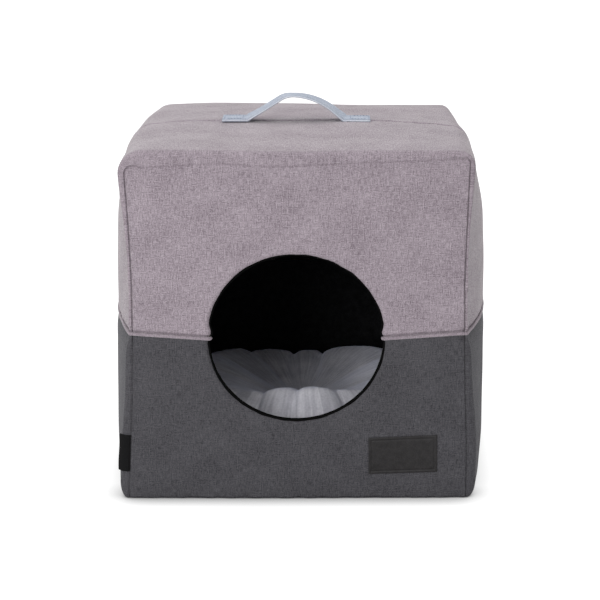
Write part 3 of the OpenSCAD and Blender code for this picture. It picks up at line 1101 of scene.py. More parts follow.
@dataclass
class Padding(Wall):
    """What lies under the covers: foam boards, linings, the floor board and the roof's foam."""

    foam_in: float = 4.4
    foam_t: float = 15.8
    foam_short: float = 40.0
    lining_in: float = 21.0
    lining_t: float = 0.8
    corner_gap: float = 0.6
    layer_gap: float = 0.3
    under_zs: tuple = (0.0, 1.4)
    board_zs: tuple = (1.8, 11.4)
    floor_zs: tuple = (11.7, 12.5)
    floor_half: tuple = (181.0, 172.0)
    hood_top: float = 370.5
    ceiling_z: float = 372.5
    ceiling_half: tuple = (179.0, 169.0)
    sheet_corner_r: float = 6.0
    door_gap: float = 2.2
    door_pinch: float = 16.0
    foam_pinch: float = 0.72
    lining_pinch: float = 13.0
    roof_half: tuple = (160.0, 168.0)
    roof_ease: float = 10.0
    lining_cuts: tuple = (0.363, 0.345)  # widths in metres: front and back, left and right

    def front_places(self, low: float, high: float, half: float, hood: bool) -> np.ndarray:
        """Spreads a front board between the doorway and a plain square border.

        Args:
            low: Height of its lower edge.
            high: Height of its upper edge.
            half: Half its width.
            hood: Whether it is above the waist seam.

        Returns:
            Places seen from the front, as a grid.
        """
        edge, far = (low, high) if hood else (high, low)
        right = np.stack([np.full(30, half), np.linspace(edge, far, 30)], -1)
        across = np.linspace(half, -half, 60)[1:-1]
        border = np.concatenate([right, np.stack([across, np.full(58, far)], -1), right[::-1] * [-1, 1]])
        return FORM.door_fan(border, self.door_gap, 22)

    def layer(
        self, word: str, zs: tuple, depth: float, thick: float, short: float, finish: Finish, hood: bool
    ) -> list[tuple[str, Piece]]:
        """Builds one layer of the four walls.

        Args:
            word: The layer's name in the pieces' names.
            zs: Heights of its lower and upper edge.
            depth: How far its outer face lies inside the covers.
            thick: Its thickness.
            short: How far its panels stop short of the corner of the covers.
            finish: Its material.
            hood: Whether it is above the waist seam.

        Returns:
            The four pieces, each with its wall's name.
        """
        made = []
        part = "hood" if hood else "lower"
        deep = float(FORM.at("seam_ys", 0.5 * (zs[0] + zs[1]))) - short
        wide = float(np.min(FORM.side_x(deep, np.linspace(*zs, 20)))) - short
        flat = self.front_places(*zs, wide, hood)
        level = FORM.on_front(np.clip(flat[..., 0], -180, 180), flat[..., 1])
        points = np.stack([flat[..., 0], level[..., 1], flat[..., 1]], -1)
        y = np.array([0, 1, 0])
        pinch = np.exp(-((distance_from(points, Edge.FIRST_COLUMN) / self.door_pinch) ** 2))[..., None] * y
        front, inward = points + depth * y, y
        if finish is FOAM:
            inward = y - self.foam_pinch * pinch
        else:
            front = front - self.lining_pinch * pinch
        made.append(("front", shell(f"{part}_front_{word}", front, thick, finish, flat, inward)))
        share, z = np.meshgrid(np.linspace(-1, 1, 40), np.linspace(*zs, 26))
        points, flat = FORM.on_front(share * wide, z, True), np.stack([share * wide, z], -1)
        made.append(("back", shell(f"{part}_back_{word}", points - depth * y, thick, finish, flat, -y)))
        flat = np.stack([share * deep, z], -1)
        for side, name in SIDES:
            points = np.stack([side * FORM.side_x(share * deep, z), share * deep, z], -1)
            x = np.array([-side, 0, 0])
            made.append((name, shell(f"{part}_{name}_{word}", points + depth * x, thick, finish, flat, x)))
        return made

    def rounded(self, half: tuple[float, float]) -> np.ndarray:
        """Gives the outline of a rectangle with round corners.

        Args:
            half: Half its sides.

        Returns:
            Places round it.
        """
        angle = np.linspace(0, 2 * np.pi, 65)[:-1]
        corner = np.sign(np.stack([np.cos(angle + 0.01), np.sin(angle + 0.01)], -1))
        turn = np.stack([np.cos(angle), np.sin(angle)], -1)
        return corner * (np.array(half) - self.sheet_corner_r) + turn * self.sheet_corner_r

    def plate(
        self, name: str, outline: np.ndarray, zs: tuple, finish: Finish, node: str, body: Body = Body.BASE
    ) -> None:
        """Builds a flat sheet or board with soft edges.

        Args:
            name: The piece's name.
            outline: Places round it, seen from above.
            zs: Heights of its underside and its top.
            finish: Its material.
            node: The solid that it stands for.
            body: The body that it moves with.
        """
        ease = min(0.4, (zs[1] - zs[0]) / 3)
        rings = []
        for inset, z in ((ease, zs[0]), (0, zs[0] + ease), (0, zs[1] - ease), (ease, zs[1])):
            drawn = outline * (1 - inset / np.abs(outline).max(1, keepdims=True))
            rings.append(np.concatenate([drawn, np.full((len(outline), 1), z)], 1))
        self.keep(swept(name, [np.stack(rings)], finish), [node], body)

    def roof_foam(self) -> None:
        """Builds the two foam boards of the roof, crowned on top and flat below."""
        half_x, half_y = self.roof_half
        x, y = np.meshgrid(np.linspace(-half_x, half_x, 50), np.linspace(2, half_y, 30))
        top = FORM.roof_z - 3 + 0.8 * FORM.crown * (1 - (x / 170) ** 4) * (1 - (y / 175) ** 2)
        past = np.maximum(np.abs(x) - half_x, y - half_y) / self.roof_ease + 1
        z = top - 6 * past.clip(0, 1) ** 2
        floor = self.ceiling_z + self.lining_t + self.layer_gap
        down = np.stack([0 * z, 0 * z, floor - z], -1)
        for way, word in ((-1, "front"), (1, "rear")):
            outer = np.stack([x, way * y, z], -1)
            foam = shell(f"roof_{word}_foam_board", outer, 1.0, FOAM, np.stack([x, y], -1), down)
            self.keep(foam, [f"roof_{word}_foam"], Body.ROOF)

    def build(self) -> list[Piece]:
        """Builds all layers.

        Returns:
            The pieces.
        """
        lower = (self.floor_zs[1] + self.layer_gap, FORM.waist_z - 1)
        for hood, zs in ((False, lower), (True, (FORM.waist_z, self.hood_top))):
            part = "hood" if hood else "lower"
            boards = self.layer("foam_board", zs, self.foam_in, self.foam_t, self.foam_short, FOAM, hood)
            for wall, obj in boards:
                self.seat(obj, [f"{part}_{wall}_foam"], hood)
            inside = self.lining_in + self.lining_t + self.corner_gap
            linings = self.layer("inner_lining", zs, self.lining_in, self.lining_t, inside, LINING, hood)
            for wall, obj in linings:
                self.seat(obj, [f"{part}_{wall}_lining"], hood)
        self.plate("underside", FORM.outline(1.0, 1.8), self.under_zs, CHARCOAL, "base_cover")
        self.plate("stiffener_board", FORM.outline(4.0, 4.0), self.board_zs, BOARD, "base_board")
        self.plate("cabin_floor", self.rounded(self.floor_half), self.floor_zs, LINING, "floor_lining")
        zs = (self.ceiling_z, self.ceiling_z + self.lining_t)
        self.plate("cabin_ceiling", self.rounded(self.ceiling_half), zs, LINING, "ceiling_lining", Body.ROOF)
        self.roof_foam()
        return self.pieces


@dataclass
class Hem(Maker):
    """The hood's folded edge round the waist: a plump fold over the base, sewn down along its upper side."""

    profile: tuple = (  # outward and upward
        (-0.8, -0.2), (0.5, -0.5), (1.15, 0.0), (1.4, 0.7), (1.35, 1.6), (1.0, 2.4), (0.3, 3.0), (-0.9, 3.3)
    )
    turn_in: tuple = (  # into the doorway: along the seam, into the wall, and its way in degrees
        (1.2, 9.0, 180.0), (0.4, 5.5, 180.0), (0.4, 2.4, 205.0), (1.4, 0.6, 240.0)
    )
    end_draw: float = 0.45
    end_reach: float = 3.5
    stitch_rise: float = 4.2
    stitch_in: float = 2.0
    stitch: Stitch = Stitch()

    def bar(self, path: np.ndarray, out: np.ndarray, ends: tuple[bool, bool] = (True, True)) -> np.ndarray:
        """Sweeps the fold along a path.

        Args:
            path: Points along the waist seam.
            out: Outward directions there.
            ends: Which ends are drawn in, as at a corner seam.

        Returns:
            The rings of the bar.
        """
        run = run_of(path)
        drawn = np.ones(len(run))
        for end, away in zip(ends, (run, run[-1] - run)):
            drawn -= self.end_draw * end * np.exp(-((away / self.end_reach) ** 2))
        plump = drawn * (1 + 0.35 * PUCKER.at(path * 0.5))
        rise = SLACK.at(path)
        up = np.array([0, 0, 1])
        ring = [
            path + out * (o * plump + rise)[:, None] + up * (u + 0.2 * rise)[:, None] for o, u in self.profile
        ]
        return np.stack(ring, 1)

    def front_path(self, side: int) -> tuple[np.ndarray, np.ndarray]:
        """Gives the path of the front's hem on one side, which turns into the doorway.

        Args:
            side: 1 for the right side and -1 for the left one.

        Returns:
            The path and its outward directions.
        """
        edge = FORM.door_rx + side * FORM.door_x - 0.6 * FORM.door_flare
        along, deep, degrees = np.array(self.turn_in).T
        x = np.concatenate([edge + along, np.linspace(edge + 3.4, FORM.at("seam_xs", FORM.waist_z), 44)])
        turn = np.radians(np.concatenate([degrees, np.full(44, 270.0)]))
        z = FORM.waist(side * x)
        path = np.stack([side * x, FORM.front_y(side * x, z), z], -1)
        path[: len(deep), 1] += deep
        return path, np.stack([side * np.cos(turn), np.sin(turn), 0 * turn], -1)

    def build(self) -> list[Piece]:
        """Builds the fold on all four sides with its stitching.

        Returns:
            The pieces.
        """
        rows = []
        bars = {"front": [], "back": [], "left": [], "right": []}
        bent = len(self.turn_in)
        for side, _ in SIDES:
            path, out = self.front_path(side)
            bars["front"].append(self.bar(path, out, (False, True)))
            rows.append((path[bent:], out[bent:]))
        x = np.linspace(-1, 1, 90) * FORM.at("seam_xs", FORM.waist_z)
        rows.append((FORM.on_front(x, np.full(90, FORM.waist_z), True), np.tile([0.0, 1.0, 0.0], (90, 1))))
        bars["back"].append(self.bar(*rows[-1]))
        turn = np.concatenate([np.linspace(0, 1, 14)[:-1], np.linspace(1, 2, 80), np.linspace(2, 3, 14)[1:]])
        for side, word in SIDES:
            path = FORM.on_side(turn, np.full(len(turn), FORM.waist_z), side)
            way = np.gradient(path, axis=0)
            out = side * np.stack([way[:, 1], -way[:, 0], 0 * way[:, 0]], -1)
            rows.append((path, out / np.linalg.norm(out, axis=1, keepdims=True)))
            bars[word].append(self.bar(*rows[-1]))
        for word, made in bars.items():
            self.keep(swept(f"waist_hem_{word}", made, HEATHER, 2.0), [f"hood_hem_{word}"], Body.BASE)
        above = [0, 0, self.stitch_rise]
        lines = [(p + o * (SLACK.at(p) - self.stitch_in)[:, None] + above, o) for p, o in rows]
        self.keep(self.stitch.rows("waist_hem_stitches", lines, HEATHER_THREAD), [], Body.BASE)
        return self.pieces


@dataclass
class Doorway(Wall):
    """The black binding that lines the doorway through the thickness of the front wall."""

    depths: tuple = (2.6, 3.0, 3.8, 5.0, 6.6, 8.2, 9.2)
    grows: tuple = (1.2, 0.0, -0.6, -0.7, -0.4, 0.4, 1.6)
    flat_r: float = 95.0

    def build(self) -> list[Piece]:
        """Builds the lower and the upper half.

        Returns:
            The pieces.
        """
        for word in ("lower", "upper"):
            angle = np.linspace(*FORM.door_ends(word == "upper"), 160)
            rim = np.stack([FORM.door_rim(angle, grow) for grow in self.grows], 1)
            points = FORM.on_front(rim[..., 0], rim[..., 1]) + np.array(self.depths)[:, None] * [0, 1, 0]
            out = np.stack([np.cos(angle), 0 * angle, np.sin(angle)], -1)[:, None] * np.ones_like(points)
            flat = np.stack(np.meshgrid(angle * self.flat_r, self.depths, indexing="ij"), -1)
            piece = shell(f"door_binding_{word}_tape", points, self.cover_t, BINDING, flat, out)
            self.seat(piece, [f"door_binding_{word}"], word == "upper")
        return self.pieces


@dataclass
class Handle(Maker):
    """The webbing strap on the roof: two sewn ends and a springy arch between them.

    Pairs belong to the left and the right half.
    """

    width: float = 33.0
    thick: float = 2.2
    tab_t: float = 3.6
    tab: float = 27.5
    span: float = 121.0
    rise: float = 28.5
    foot_r: float = 5.0
    arch_rs: tuple = (32.0, 70.0)
    ramps_deg: tuple = (29.5, 46.0)
    slope_rolls_deg: tuple = (2.5, 5.0)
    crest_roll_deg: float = -2.0
    edge_r: float = 0.5
    rib: float = 0.25
    rib_in: float = 3.0
    edge_cord_r: float = 0.8
    base_z: float = 402.7
    settle_over: float = 6.0
    bend_zs: tuple = (403.0, 413.5)
    off_x: float = -3.7
    lean: float = -5.0
    box_in: float = 3.0
    box_edge: float = 3.5
    stitch: Stitch = Stitch(pitch=3.6)

    def half_line(self, side: int) -> tuple[np.ndarray, np.ndarray]:
        """Gives half the strap's middle line, from its sewn end to the crest.

        Args:
            side: 0 for the left half and 1 for the right one.

        Returns:
            Places along and above the roof, with the crest at 0, and the slopes there.
        """
        turn, arch_r = math.radians(self.ramps_deg[side]), self.arch_rs[side]
        ramp = (self.rise - (self.foot_r + arch_r) * (1 - math.cos(turn))) / math.sin(turn)
        parts = (  # points, length, first and last slope of the sewn end, the foot, the ramp and the arch
            (12, self.tab, 0.0, 0.0), (10, self.foot_r * turn, 0.0, turn),
            (12, ramp, turn, turn), (26, arch_r * turn, turn, 0.0),
        )
        angle = np.concatenate([np.linspace(first, last, count) for count, _, first, last in parts])
        step = np.concatenate([np.full(count, length / count) for count, length, _, _ in parts])
        moves = np.stack([np.cos(angle), np.sin(angle)], -1) * step[:, None]
        run = np.concatenate([[[0, 0]], np.cumsum(moves, 0)])
        return (run - [run[-1, 0], 0]) * [1, self.rise / run[-1, 1]], np.concatenate([angle, [0.0]])

    def path(self) -> tuple[np.ndarray, np.ndarray, np.ndarray, np.ndarray]:
        """Gives the strap's run over the roof.

        Returns:
            Its middle line, its upward and its sideways directions, and half its thickness.
        """
        (left, left_slope), (right, right_slope) = self.half_line(0), self.half_line(1)
        line = np.concatenate([left, right[-2::-1] * [-1, 1]])
        slope = np.concatenate([left_slope, -right_slope[-2::-1]])
        sit = FORM.roof_z + FORM.crown * (1 - (line[:, 0] / 175) ** 4) + self.tab_t / 2 + 0.2
        settle = np.exp(-((line[:, 1] / self.settle_over) ** 2))
        z = line[:, 1] + self.base_z + (sit - self.base_z) * settle
        aside = self.off_x + self.lean * line[:, 1] / self.rise
        points = np.stack([line[:, 0] + aside, 0 * z, z], -1)
        up = np.stack([-np.sin(slope), 0 * slope, np.cos(slope)], -1)
        across = np.tile([0.0, 1.0, 0.0], (len(line), 1))
        steep = np.abs(slope) / np.radians(np.where(slope > 0, *self.ramps_deg))
        roll = steep * np.where(slope > 0, *self.slope_rolls_deg)
        roll = roll + (1 - steep) * self.crest_roll_deg * line[:, 1] / self.rise
        roll = np.radians(roll)[:, None]
        half_t = self.thick / 2 + (self.tab_t - self.thick) / 2 * settle
        rolled_up = up * np.cos(roll) - across * np.sin(roll)
        rolled_across = across * np.cos(roll) + up * np.sin(roll)
        return points, rolled_up, rolled_across, half_t

    def box_rows(self, line: np.ndarray) -> list[tuple[np.ndarray, np.ndarray]]:
        """Gives the rows of stitches that hold both sewn ends, each a rectangle.

        Args:
            line: The strap's middle line.

        Returns:
            The points and normals of each row.
        """
        rows = []
        share = np.linspace(0, 1, 12)
        for side, _ in SIDES:
            near = self.off_x + side * (self.span / 2 + self.box_in)
            far, wide = near + side * (self.tab - 2 * self.box_in), self.width / 2 - self.box_edge
            corners = [(near, -wide), (far, -wide), (far, wide), (near, wide), (near, -wide)]
            for (xa, ya), (xb, yb) in zip(corners, corners[1:]):
                x, y = xa + (xb - xa) * share, ya + (yb - ya) * share
                z = np.interp(x, line[:, 0], line[:, 2]) + self.tab_t / 2 + 0.3
                rows.append((np.stack([x, y, z], -1), np.tile([0.0, 0.0, 1.0], (12, 1))))
        return rows

    def build(self) -> list[Piece]:
        """Builds the strap, the cords in its edges, pale as a painted highlight on its rim, and its box
        stitches.

        Returns:
            The pieces.
        """
        line, up, across, half_t = self.path()
        half = self.width / 2
        inner = half - self.edge_r
        ring = [(y, 1.0, self.rib * (abs(y) > half - self.rib_in)) for y in np.linspace(-inner, inner, 13)]
        ring += [(half, 0.5, 0), (half, -0.5, 0), (inner, -1.0, 0), (0, -1.0, 0), (-inner, -1.0, 0)]
        ring += [(-half, -0.5, 0), (-half, 0.5, 0)]
        strap = [line + up * (half_t * share + lip)[:, None] + across * y for y, share, lip in ring]
        # pale cords along both edges: a painted highlight on the strap's lit rim
        cords = [tube(line + across * side * half, self.edge_cord_r, across, up, 8) for side, _ in SIDES]
        nodes = ["handle_loop", "handle_left_tab", "handle_right_tab"]
        made = swept("carry_strap", [np.stack(strap, 1)], WEBBING)
        self.keep(made, nodes, Body.ROOF, Body.HANDLE, self.bend_zs)
        self.keep(swept("carry_strap_edge_highlight", cords, EDGE_HIGHLIGHT_CORD), [], Body.ROOF, Body.HANDLE, self.bend_zs)
        thread = self.stitch.rows("carry_strap_stitches", self.box_rows(line), DENIM_THREAD)
        self.keep(thread, [], Body.ROOF)
        return self.pieces


@dataclass
class Trim(Maker):
    """The bare leatherette patch on the base's front and the bare woven label in the left corner seam."""

    patch_at: tuple = (117.0, 53.2)
    patch_size: tuple = (77.0, 43.4)
    patch_tilt_deg: float = 1.6
    groove_in: float = 3.4
    groove: Crease = Crease(0.8, 0.8)
    label_zs: tuple = (33.5, 76.0)
    label_turn: float = 0.74
    label_wide: float = 15.0
    fold_rise: float = 1.6
    thick: float = 1.3
    stand_off: float = 0.4

    def build(self) -> list[Piece]:
        """Builds patch and label.

        Returns:
            The pieces.
        """
        self.patch()
        self.label()
        return self.pieces

    def lay(
        self, name: str, base: np.ndarray, rise: np.ndarray, finish: Finish, flat: np.ndarray, node: str
    ) -> None:
        """Lays a thin piece on the base's cover.

        Args:
            name: The piece's name.
            base: Points on the smooth cover.
            rise: How far it stands off there, beyond its thickness.
            finish: Its material.
            flat: Flat places of the points.
            node: The solid that it stands for.
        """
        high = SLACK.at(base) + self.stand_off + self.thick + rise
        outer = base + normals_of(base) * high[..., None]
        self.keep(shell(name, outer, self.thick, finish, flat), [node], Body.BASE)

    def patch(self) -> None:
        """Builds the patch: rounded edges, and a line pressed in along its border."""
        wide, high = self.patch_size
        u, v = np.meshgrid((graded(60, 0.7) - 0.5) * wide, (graded(44, 0.7) - 0.5) * high)
        edge = np.minimum(wide / 2 - np.abs(u), high / 2 - np.abs(v))
        tilt = math.radians(self.patch_tilt_deg)
        x = self.patch_at[0] + u * math.cos(tilt) - v * math.sin(tilt)
        z = self.patch_at[1] + u * math.sin(tilt) + v * math.cos(tilt)
        lines = (edge, edge - self.groove_in)
        rise = -sum(self.groove.depth * np.exp(-((away / self.groove.width) ** 2)) for away in lines)
        flat = np.stack([u, v], -1)
        self.lay("leatherette_patch", FORM.on_front(x, z), rise, LEATHERETTE, flat, "front_patch")

    def label(self) -> None:
        """Builds the label: a folded ribbon in the seam, bent round the corner, its fold standing off."""
        turn, z = np.meshgrid(np.linspace(0.01, self.label_turn, 24), np.linspace(*self.label_zs, 40))
        share = turn / self.label_turn
        rise = self.fold_rise * (share**3 - np.exp(-((share / 0.08) ** 2))) + 0.25 * np.sin(z / 5.5) * share
        flat = np.stack([share * self.label_wide, z], -1)
        self.lay("seam_label", FORM.on_side(turn, z, -1), rise, LABEL, flat, "side_label")


@dataclass
class Cushion(Maker):
    """The loose plush cushion: a stuffed ring of tufted lobes round a hollow, made as a swollen pillow."""

    half: tuple = (170.0, 162.0)
    squareness: float = 3.2
    floor_z: float = 13.6
    seam_z: float = 40.0
    crest_share: float = 0.68
    crest_turns: tuple = (-180, -140, -118, -104, -91, -78, -62, -40, 0, 45, 76, 93, 114, 150, 180)
    crest_zs: tuple = (103, 93, 93, 99, 101, 101, 95, 93, 96, 92, 82, 80, 81, 93, 103)
    dish_z: float = 50.0
    creases: tuple = (  # turn in degrees and share of the full depth
        (-91.5, 0.7), (-110, 0.7), (-70, 0.5), (-132, 0.5), (-48, 0.4), (-163, 0.3), (-16, 0.3), (150, 0.3),
        (30, 0.3), (121, 1.1), (75, 1.1), (97, 0.9),
    )
    crease: Crease = Crease(4.0, 4.16)
    lobe: Crease = Crease(3.0, 12.0)
    dimple: Crease = Crease(7.0, 16.0)
    girth_seam: Crease = Crease(2.0, 3.0)
    core_share: float = 0.82
    core_in: float = 22.0
    knot_r: float = 6.0
    knot_high: float = 2.4
    knot_sink: float = 4.0
    fill: float = 0.7
    voxel: float = 5.0
    pressure: float = 4.0
    frames: int = 20
    cap: float = 6.0

    def reach(self, angle: np.ndarray) -> np.ndarray:
        """Gives the distance from the middle to the edge.

        Args:
            angle: Directions, as turns from the right.

        Returns:
            The distances.
        """
        n = self.squareness
        x, y = np.abs(np.cos(angle) / self.half[0]), np.abs(np.sin(angle) / self.half[1])
        return (x**n + y**n) ** (-1 / n)

    def pillow(self, share: float = 1.0, inset: float = 0.0) -> np.ndarray:
        """Gives the smooth pillow as rings from the middle of its underside to the middle of its hollow.

        Args:
            share: Share of its full plan.
            inset: How far it lies inside its full height.

        Returns:
            The rings.
        """
        angle = np.linspace(0, 2 * np.pi, 145)[:-1]
        crest = np.interp((np.degrees(angle) + 180) % 360 - 180, self.crest_turns, self.crest_zs)
        crest = sum(np.roll(crest, k) for k in range(-3, 4)) / 7 - inset
        floor, dish, seam = self.floor_z + inset / 4, self.dish_z - inset, self.seam_z
        turn = np.linspace(0, np.pi / 2, 16)
        rings = [(s, np.full(144, floor)) for s in np.linspace(0.02, 0.86, 16)]
        rings += [(0.88 + 0.12 * math.sin(t), seam - (seam - floor) * math.cos(t) + 0 * crest) for t in turn]
        for t in turn[1:]:
            wide = self.crest_share + (1 - self.crest_share) * math.cos(t)
            rings.append((wide, seam + (crest - seam) * math.sin(t)))
        for step in np.linspace(0, 1, 26)[1:]:
            fall = 0.55 * (0.5 + 0.5 * math.cos(math.pi * step)) + 0.45 * (1 - step) ** 1.1
            rings.append((max(self.crest_share * (1 - step), 0.02), dish + (crest - dish) * fall))
        edge = np.stack([np.cos(angle), np.sin(angle)], -1) * (share * self.reach(angle))[:, None]
        return np.stack([np.concatenate([edge * s, z[:, None]], 1) for s, z in rings])

    def evaluated(self, obj: Piece) -> bpy.types.Mesh:
        """Returns the object's mesh with its modifiers applied."""
        return bpy.data.meshes.new_from_object(obj.evaluated_get(bpy.context.evaluated_depsgraph_get()))

    def places(self, mesh: bpy.types.Mesh, what: str = "co") -> np.ndarray:
        """Gives the places of a mesh's vertices.

        Args:
            mesh: The mesh.
            what: "co" for their places or "normal" for their normals.

        Returns:
            One row for each vertex.
        """
        flat = np.zeros(3 * len(mesh.vertices))
        mesh.vertices.foreach_get(what, flat)
        return flat.reshape(-1, 3)

    def place(self, mesh: bpy.types.Mesh, places: np.ndarray) -> None:
        """Moves a mesh's vertices to the places, one row for each."""
        mesh.vertices.foreach_set("co", places.astype(np.float32).ravel())
        mesh.update()

    def swell(self, obj: Piece) -> None:
        """Remeshes the pillow evenly and blows it up as cloth, so that its cover is taut over the stuffing.

        Args:
            obj: The pillow.
        """
        remesh = obj.modifiers.new("even", "REMESH")
        remesh.mode = "VOXEL"
        remesh.voxel_size = self.voxel * MM
        remesh.use_smooth_shade = True
        obj.data = self.evaluated(obj)
        obj.modifiers.clear()
        start = self.places(obj.data)
        cloth = obj.modifiers.new("stuffing", "CLOTH")
        cloth.settings.use_pressure = True
        cloth.settings.uniform_pressure_force = self.pressure
        cloth.settings.effector_weights.gravity = 0.0
        for step in range(1, self.frames + 1):
            bpy.context.scene.frame_set(step)
        move = self.places(self.evaluated(obj)) - start
        bpy.context.scene.frame_set(1)
        obj.modifiers.clear()
        far = np.linalg.norm(move, axis=1, keepdims=True)
        self.place(obj.data, start + move * np.minimum(1, self.cap * MM / np.maximum(far, 1e-9)))

    def tuft(self, obj: Piece) -> None:
        """Subdivides the swollen pillow once and pulls in the sewn creases between its lobes.

        Args:
            obj: The pillow.
        """
        obj.modifiers.new("finer", "SUBSURF").levels = 1
        obj.data = self.evaluated(obj)
        obj.modifiers.clear()
        mesh = obj.data
        spot = self.places(mesh) / MM
        angle = np.arctan2(spot[:, 1], spot[:, 0])
        away = np.hypot(spot[:, 0], spot[:, 1])
        share = away / self.reach(angle)
        above = spot[:, 2] - self.seam_z
        upper = np.clip((above + 14) / 20, 0, 1)
        fade = np.clip((share - 0.12) / 0.3, 0, 1) * upper
        pull = self.dimple.depth * np.exp(-((away / self.dimple.width) ** 2)) * upper
        pull = pull + self.girth_seam.depth * np.exp(-((above / self.girth_seam.width) ** 2))
        for k, (degrees, deep) in enumerate(self.creases):
            line = math.radians(degrees) + 0.06 * np.sin(5 * share + 1.7 * k)
            apart = np.abs((angle - line + np.pi) % (2 * np.pi) - np.pi) * away
            for fold in (self.crease, self.lobe):
                pull = pull + fade * deep * fold.depth * np.exp(-((apart / fold.width) ** 2))
        spot = spot - self.places(mesh, "normal") * pull[:, None]
        spot[:, 2] = np.maximum(spot[:, 2], self.floor_z - 0.3)
        self.place(mesh, spot * MM)
        mesh.polygons.foreach_set("use_smooth", np.ones(len(mesh.polygons), bool))

    def build(self) -> list[Piece]:
        """Builds the cushion, its stuffing and the knot of its middle tuft.

        Returns:
            The pieces.
        """
        cover = swept("plush_cushion", [self.pillow()], PLUSH)
        self.swell(cover)
        self.tuft(cover)
        self.keep(cover, ["cushion_top_cover", "cushion_base_cover"], Body.CUSHION)
        core = swept("cushion_fibre_core", [self.pillow(self.core_share, self.core_in)], FIBRE)
        self.keep(core, ["cushion_fill"], Body.CUSHION)
        turn = np.linspace(0.05, math.pi - 0.05, 12)[::-1, None]
        angle = np.linspace(0, 2 * np.pi, 25)[None, :-1]
        x, y = (self.knot_r * np.sin(turn) * wave for wave in (np.cos(angle), np.sin(angle)))
        z = self.knot_high * np.cos(turn) + 0 * angle + self.dish_z - self.knot_sink
        knot = swept("cushion_tuft_knot", [np.stack([x, y, z], -1)], PLUSH)
        self.keep(knot, ["cushion_tuft"], Body.CUSHION)
        return self.pieces


# The studio


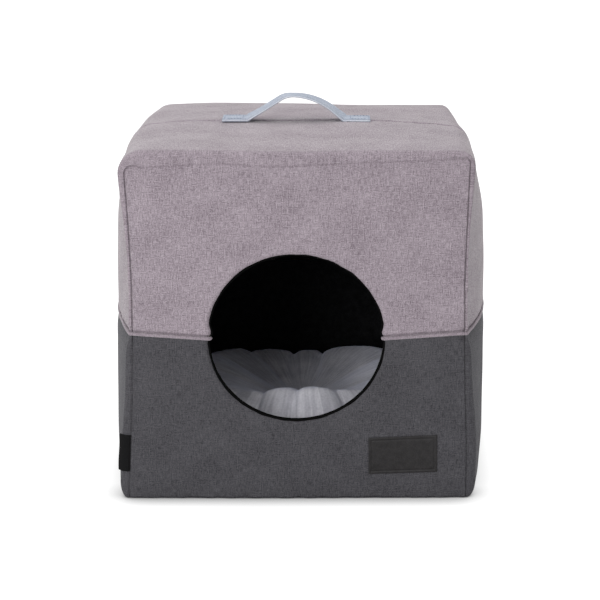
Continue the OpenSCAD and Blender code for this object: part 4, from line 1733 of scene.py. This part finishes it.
@dataclass
class Studio:
    """A white room with soft light, and the camera where the photographer stood."""

    camera_at: tuple = (0.0288, -1.984, 0.6913)
    pitch_deg: float = 14.4
    yaw_deg: float = -0.9
    focal_px: float = 1685.0
    image_px: float = 600.0
    floor_m: float = 30.0
    world_light: float = 0.57
    shadow_reach_m: float = 0.034
    shadow_ys_m: tuple = (-0.2, -0.15)
    shadow_lows: tuple = (-0.3, 0.42)
    floor_glow: float = 0.98
    lamps: tuple = (  # name, place, width and height, watts
        ("front_left", (-0.7, -2.2, 2.3), (1.6, 1.6), 9.0),
        ("top", (0.0, 0.6, 2.6), (1.8, 1.8), 28.0),
        ("front_low", (-1.15, -2.4, 0.75), (1.2, 0.8), 23.5),
        ("left", (-2.6, -0.4, 0.9), (1.2, 1.4), 0.8),
    )
    aim: tuple = (0.0, 0.0, 0.2)

    def build(self) -> None:
        """Builds floor, world, lamps and camera."""
        scene = bpy.context.scene
        scene.view_settings.view_transform = "Standard"
        self.world(scene)
        self.floor()
        for lamp in self.lamps:
            self.lamp(*lamp)
        data = bpy.data.cameras.new("camera")
        data.sensor_width = 36.0
        data.lens = self.focal_px / self.image_px * data.sensor_width
        camera = bpy.data.objects.new("camera", data)
        camera.location = self.camera_at
        camera.rotation_euler = (math.radians(90 - self.pitch_deg), 0, math.radians(-self.yaw_deg))
        scene.collection.objects.link(camera)
        scene.camera = camera

    def world(self, scene: bpy.types.Scene) -> None:
        """Adds the white surroundings: white to the camera, softer as a light.

        Args:
            scene: The scene that they surround.
        """
        world = bpy.data.worlds.new("white_room")
        world.use_nodes = True
        tree = world.node_tree
        tree.nodes.clear()
        seen = 0.0
        for ray in ("Is Camera Ray", "Is Glossy Ray", "Is Transmission Ray"):
            kind = add_node(tree, "ShaderNodeLightPath", out=ray)
            seen = add_node(tree, "ShaderNodeMath", {0: seen, 1: kind}, operation="MAXIMUM")
        light = {"Value": seen, "To Min": self.world_light, "To Max": 1.0}
        strength = add_node(tree, "ShaderNodeMapRange", light)
        sky = add_node(tree, "ShaderNodeBackground", {"Color": (1, 1, 1, 1), "Strength": strength})
        add_node(tree, "ShaderNodeOutputWorld", {"Surface": sky})
        scene.world = world

    def paper(self) -> bpy.types.Material:
        """Makes the floor's white paper, bright to the camera but for the shadow that touches the condo,
        which is partly a real shadow on its faint diffuse share and partly a painted shadow in its glow.

        Returns:
            The material.
        """
        material = bpy.data.materials.new("studio_paper_white")
        material.use_nodes = True
        tree = material.node_tree
        tree.nodes.clear()
        pale = add_node(tree, "ShaderNodeBsdfDiffuse", {"Color": (0.9, 0.9, 0.9, 1)})
        shaded = add_node(tree, "ShaderNodeBsdfDiffuse", {"Color": (0.3, 0.3, 0.3, 1)})
        open_sky = add_node(tree, "ShaderNodeAmbientOcclusion", {"Distance": self.shadow_reach_m}, "AO")
        place = add_node(tree, "ShaderNodeTexCoord", out="Object")
        depth = add_node(tree, "ShaderNodeSeparateXYZ", {"Vector": place}, "Y")
        # Painted ground shadow: the glow dims with ambient occlusion, fully under the front edge and only
        # faintly along the sides, as a mask by depth sets
        (near, far), (full, faint) = self.shadow_ys_m, self.shadow_lows
        fade = {"Value": depth, "From Min": near, "From Max": far, "To Min": full, "To Max": faint}
        low = add_node(tree, "ShaderNodeMapRange", fade)
        bright = {"Value": open_sky, "To Min": low, "To Max": self.floor_glow}
        strength = add_node(tree, "ShaderNodeMapRange", bright)
        glow = add_node(tree, "ShaderNodeEmission", {"Color": (1, 1, 1, 1), "Strength": strength})
        both = add_node(tree, "ShaderNodeAddShader", {0: shaded, 1: glow})
        seen = add_node(tree, "ShaderNodeLightPath", out="Is Camera Ray")
        mixed = add_node(tree, "ShaderNodeMixShader", {0: seen, 1: pale, 2: both})
        add_node(tree, "ShaderNodeOutputMaterial", {"Surface": mixed})
        return material

    def floor(self) -> None:
        """Adds the pale floor, which takes the condo's shadow."""
        half = self.floor_m / 2
        corners = [(-half, -half, 0), (half, -half, 0), (half, half, 0), (-half, half, 0)]
        mesh = bpy.data.meshes.new("floor")
        mesh.from_pydata(corners, [], [(0, 1, 2, 3)])
        mesh.materials.append(self.paper())
        floor = bpy.data.objects.new("floor", mesh)
        bpy.context.scene.collection.objects.link(floor)

    def lamp(self, name: str, place: tuple, size: tuple, watts: float) -> None:
        """Adds a soft box that faces the condo.

        Args:
            name: The lamp's name.
            place: Where it hangs.
            size: Its width and height.
            watts: Its power.
        """
        data = bpy.data.lights.new(name, "AREA")
        data.shape = "RECTANGLE"
        data.size, data.size_y = size
        data.energy = watts
        lamp = bpy.data.objects.new(name, data)
        lamp.location = place
        way = type(lamp.location)(self.aim) - lamp.location
        lamp.rotation_euler = way.to_track_quat("-Z", "Y").to_euler()
        bpy.context.scene.collection.objects.link(lamp)


def main() -> None:
    """Builds the condo's pieces and the studio, and logs each piece."""
    logging.basicConfig(level=logging.INFO, format="%(name)s: %(message)s")
    for maker in (BaseTub(), Hood(), Padding(), Hem(), Doorway(), Handle(), Trim(), Cushion()):
        for piece in maker.build():
            LOG.info("%s: %s, %d faces", type(maker).__name__, piece.name, len(piece.data.polygons))
    Studio().build()


if __name__ == "__main__":
    main()
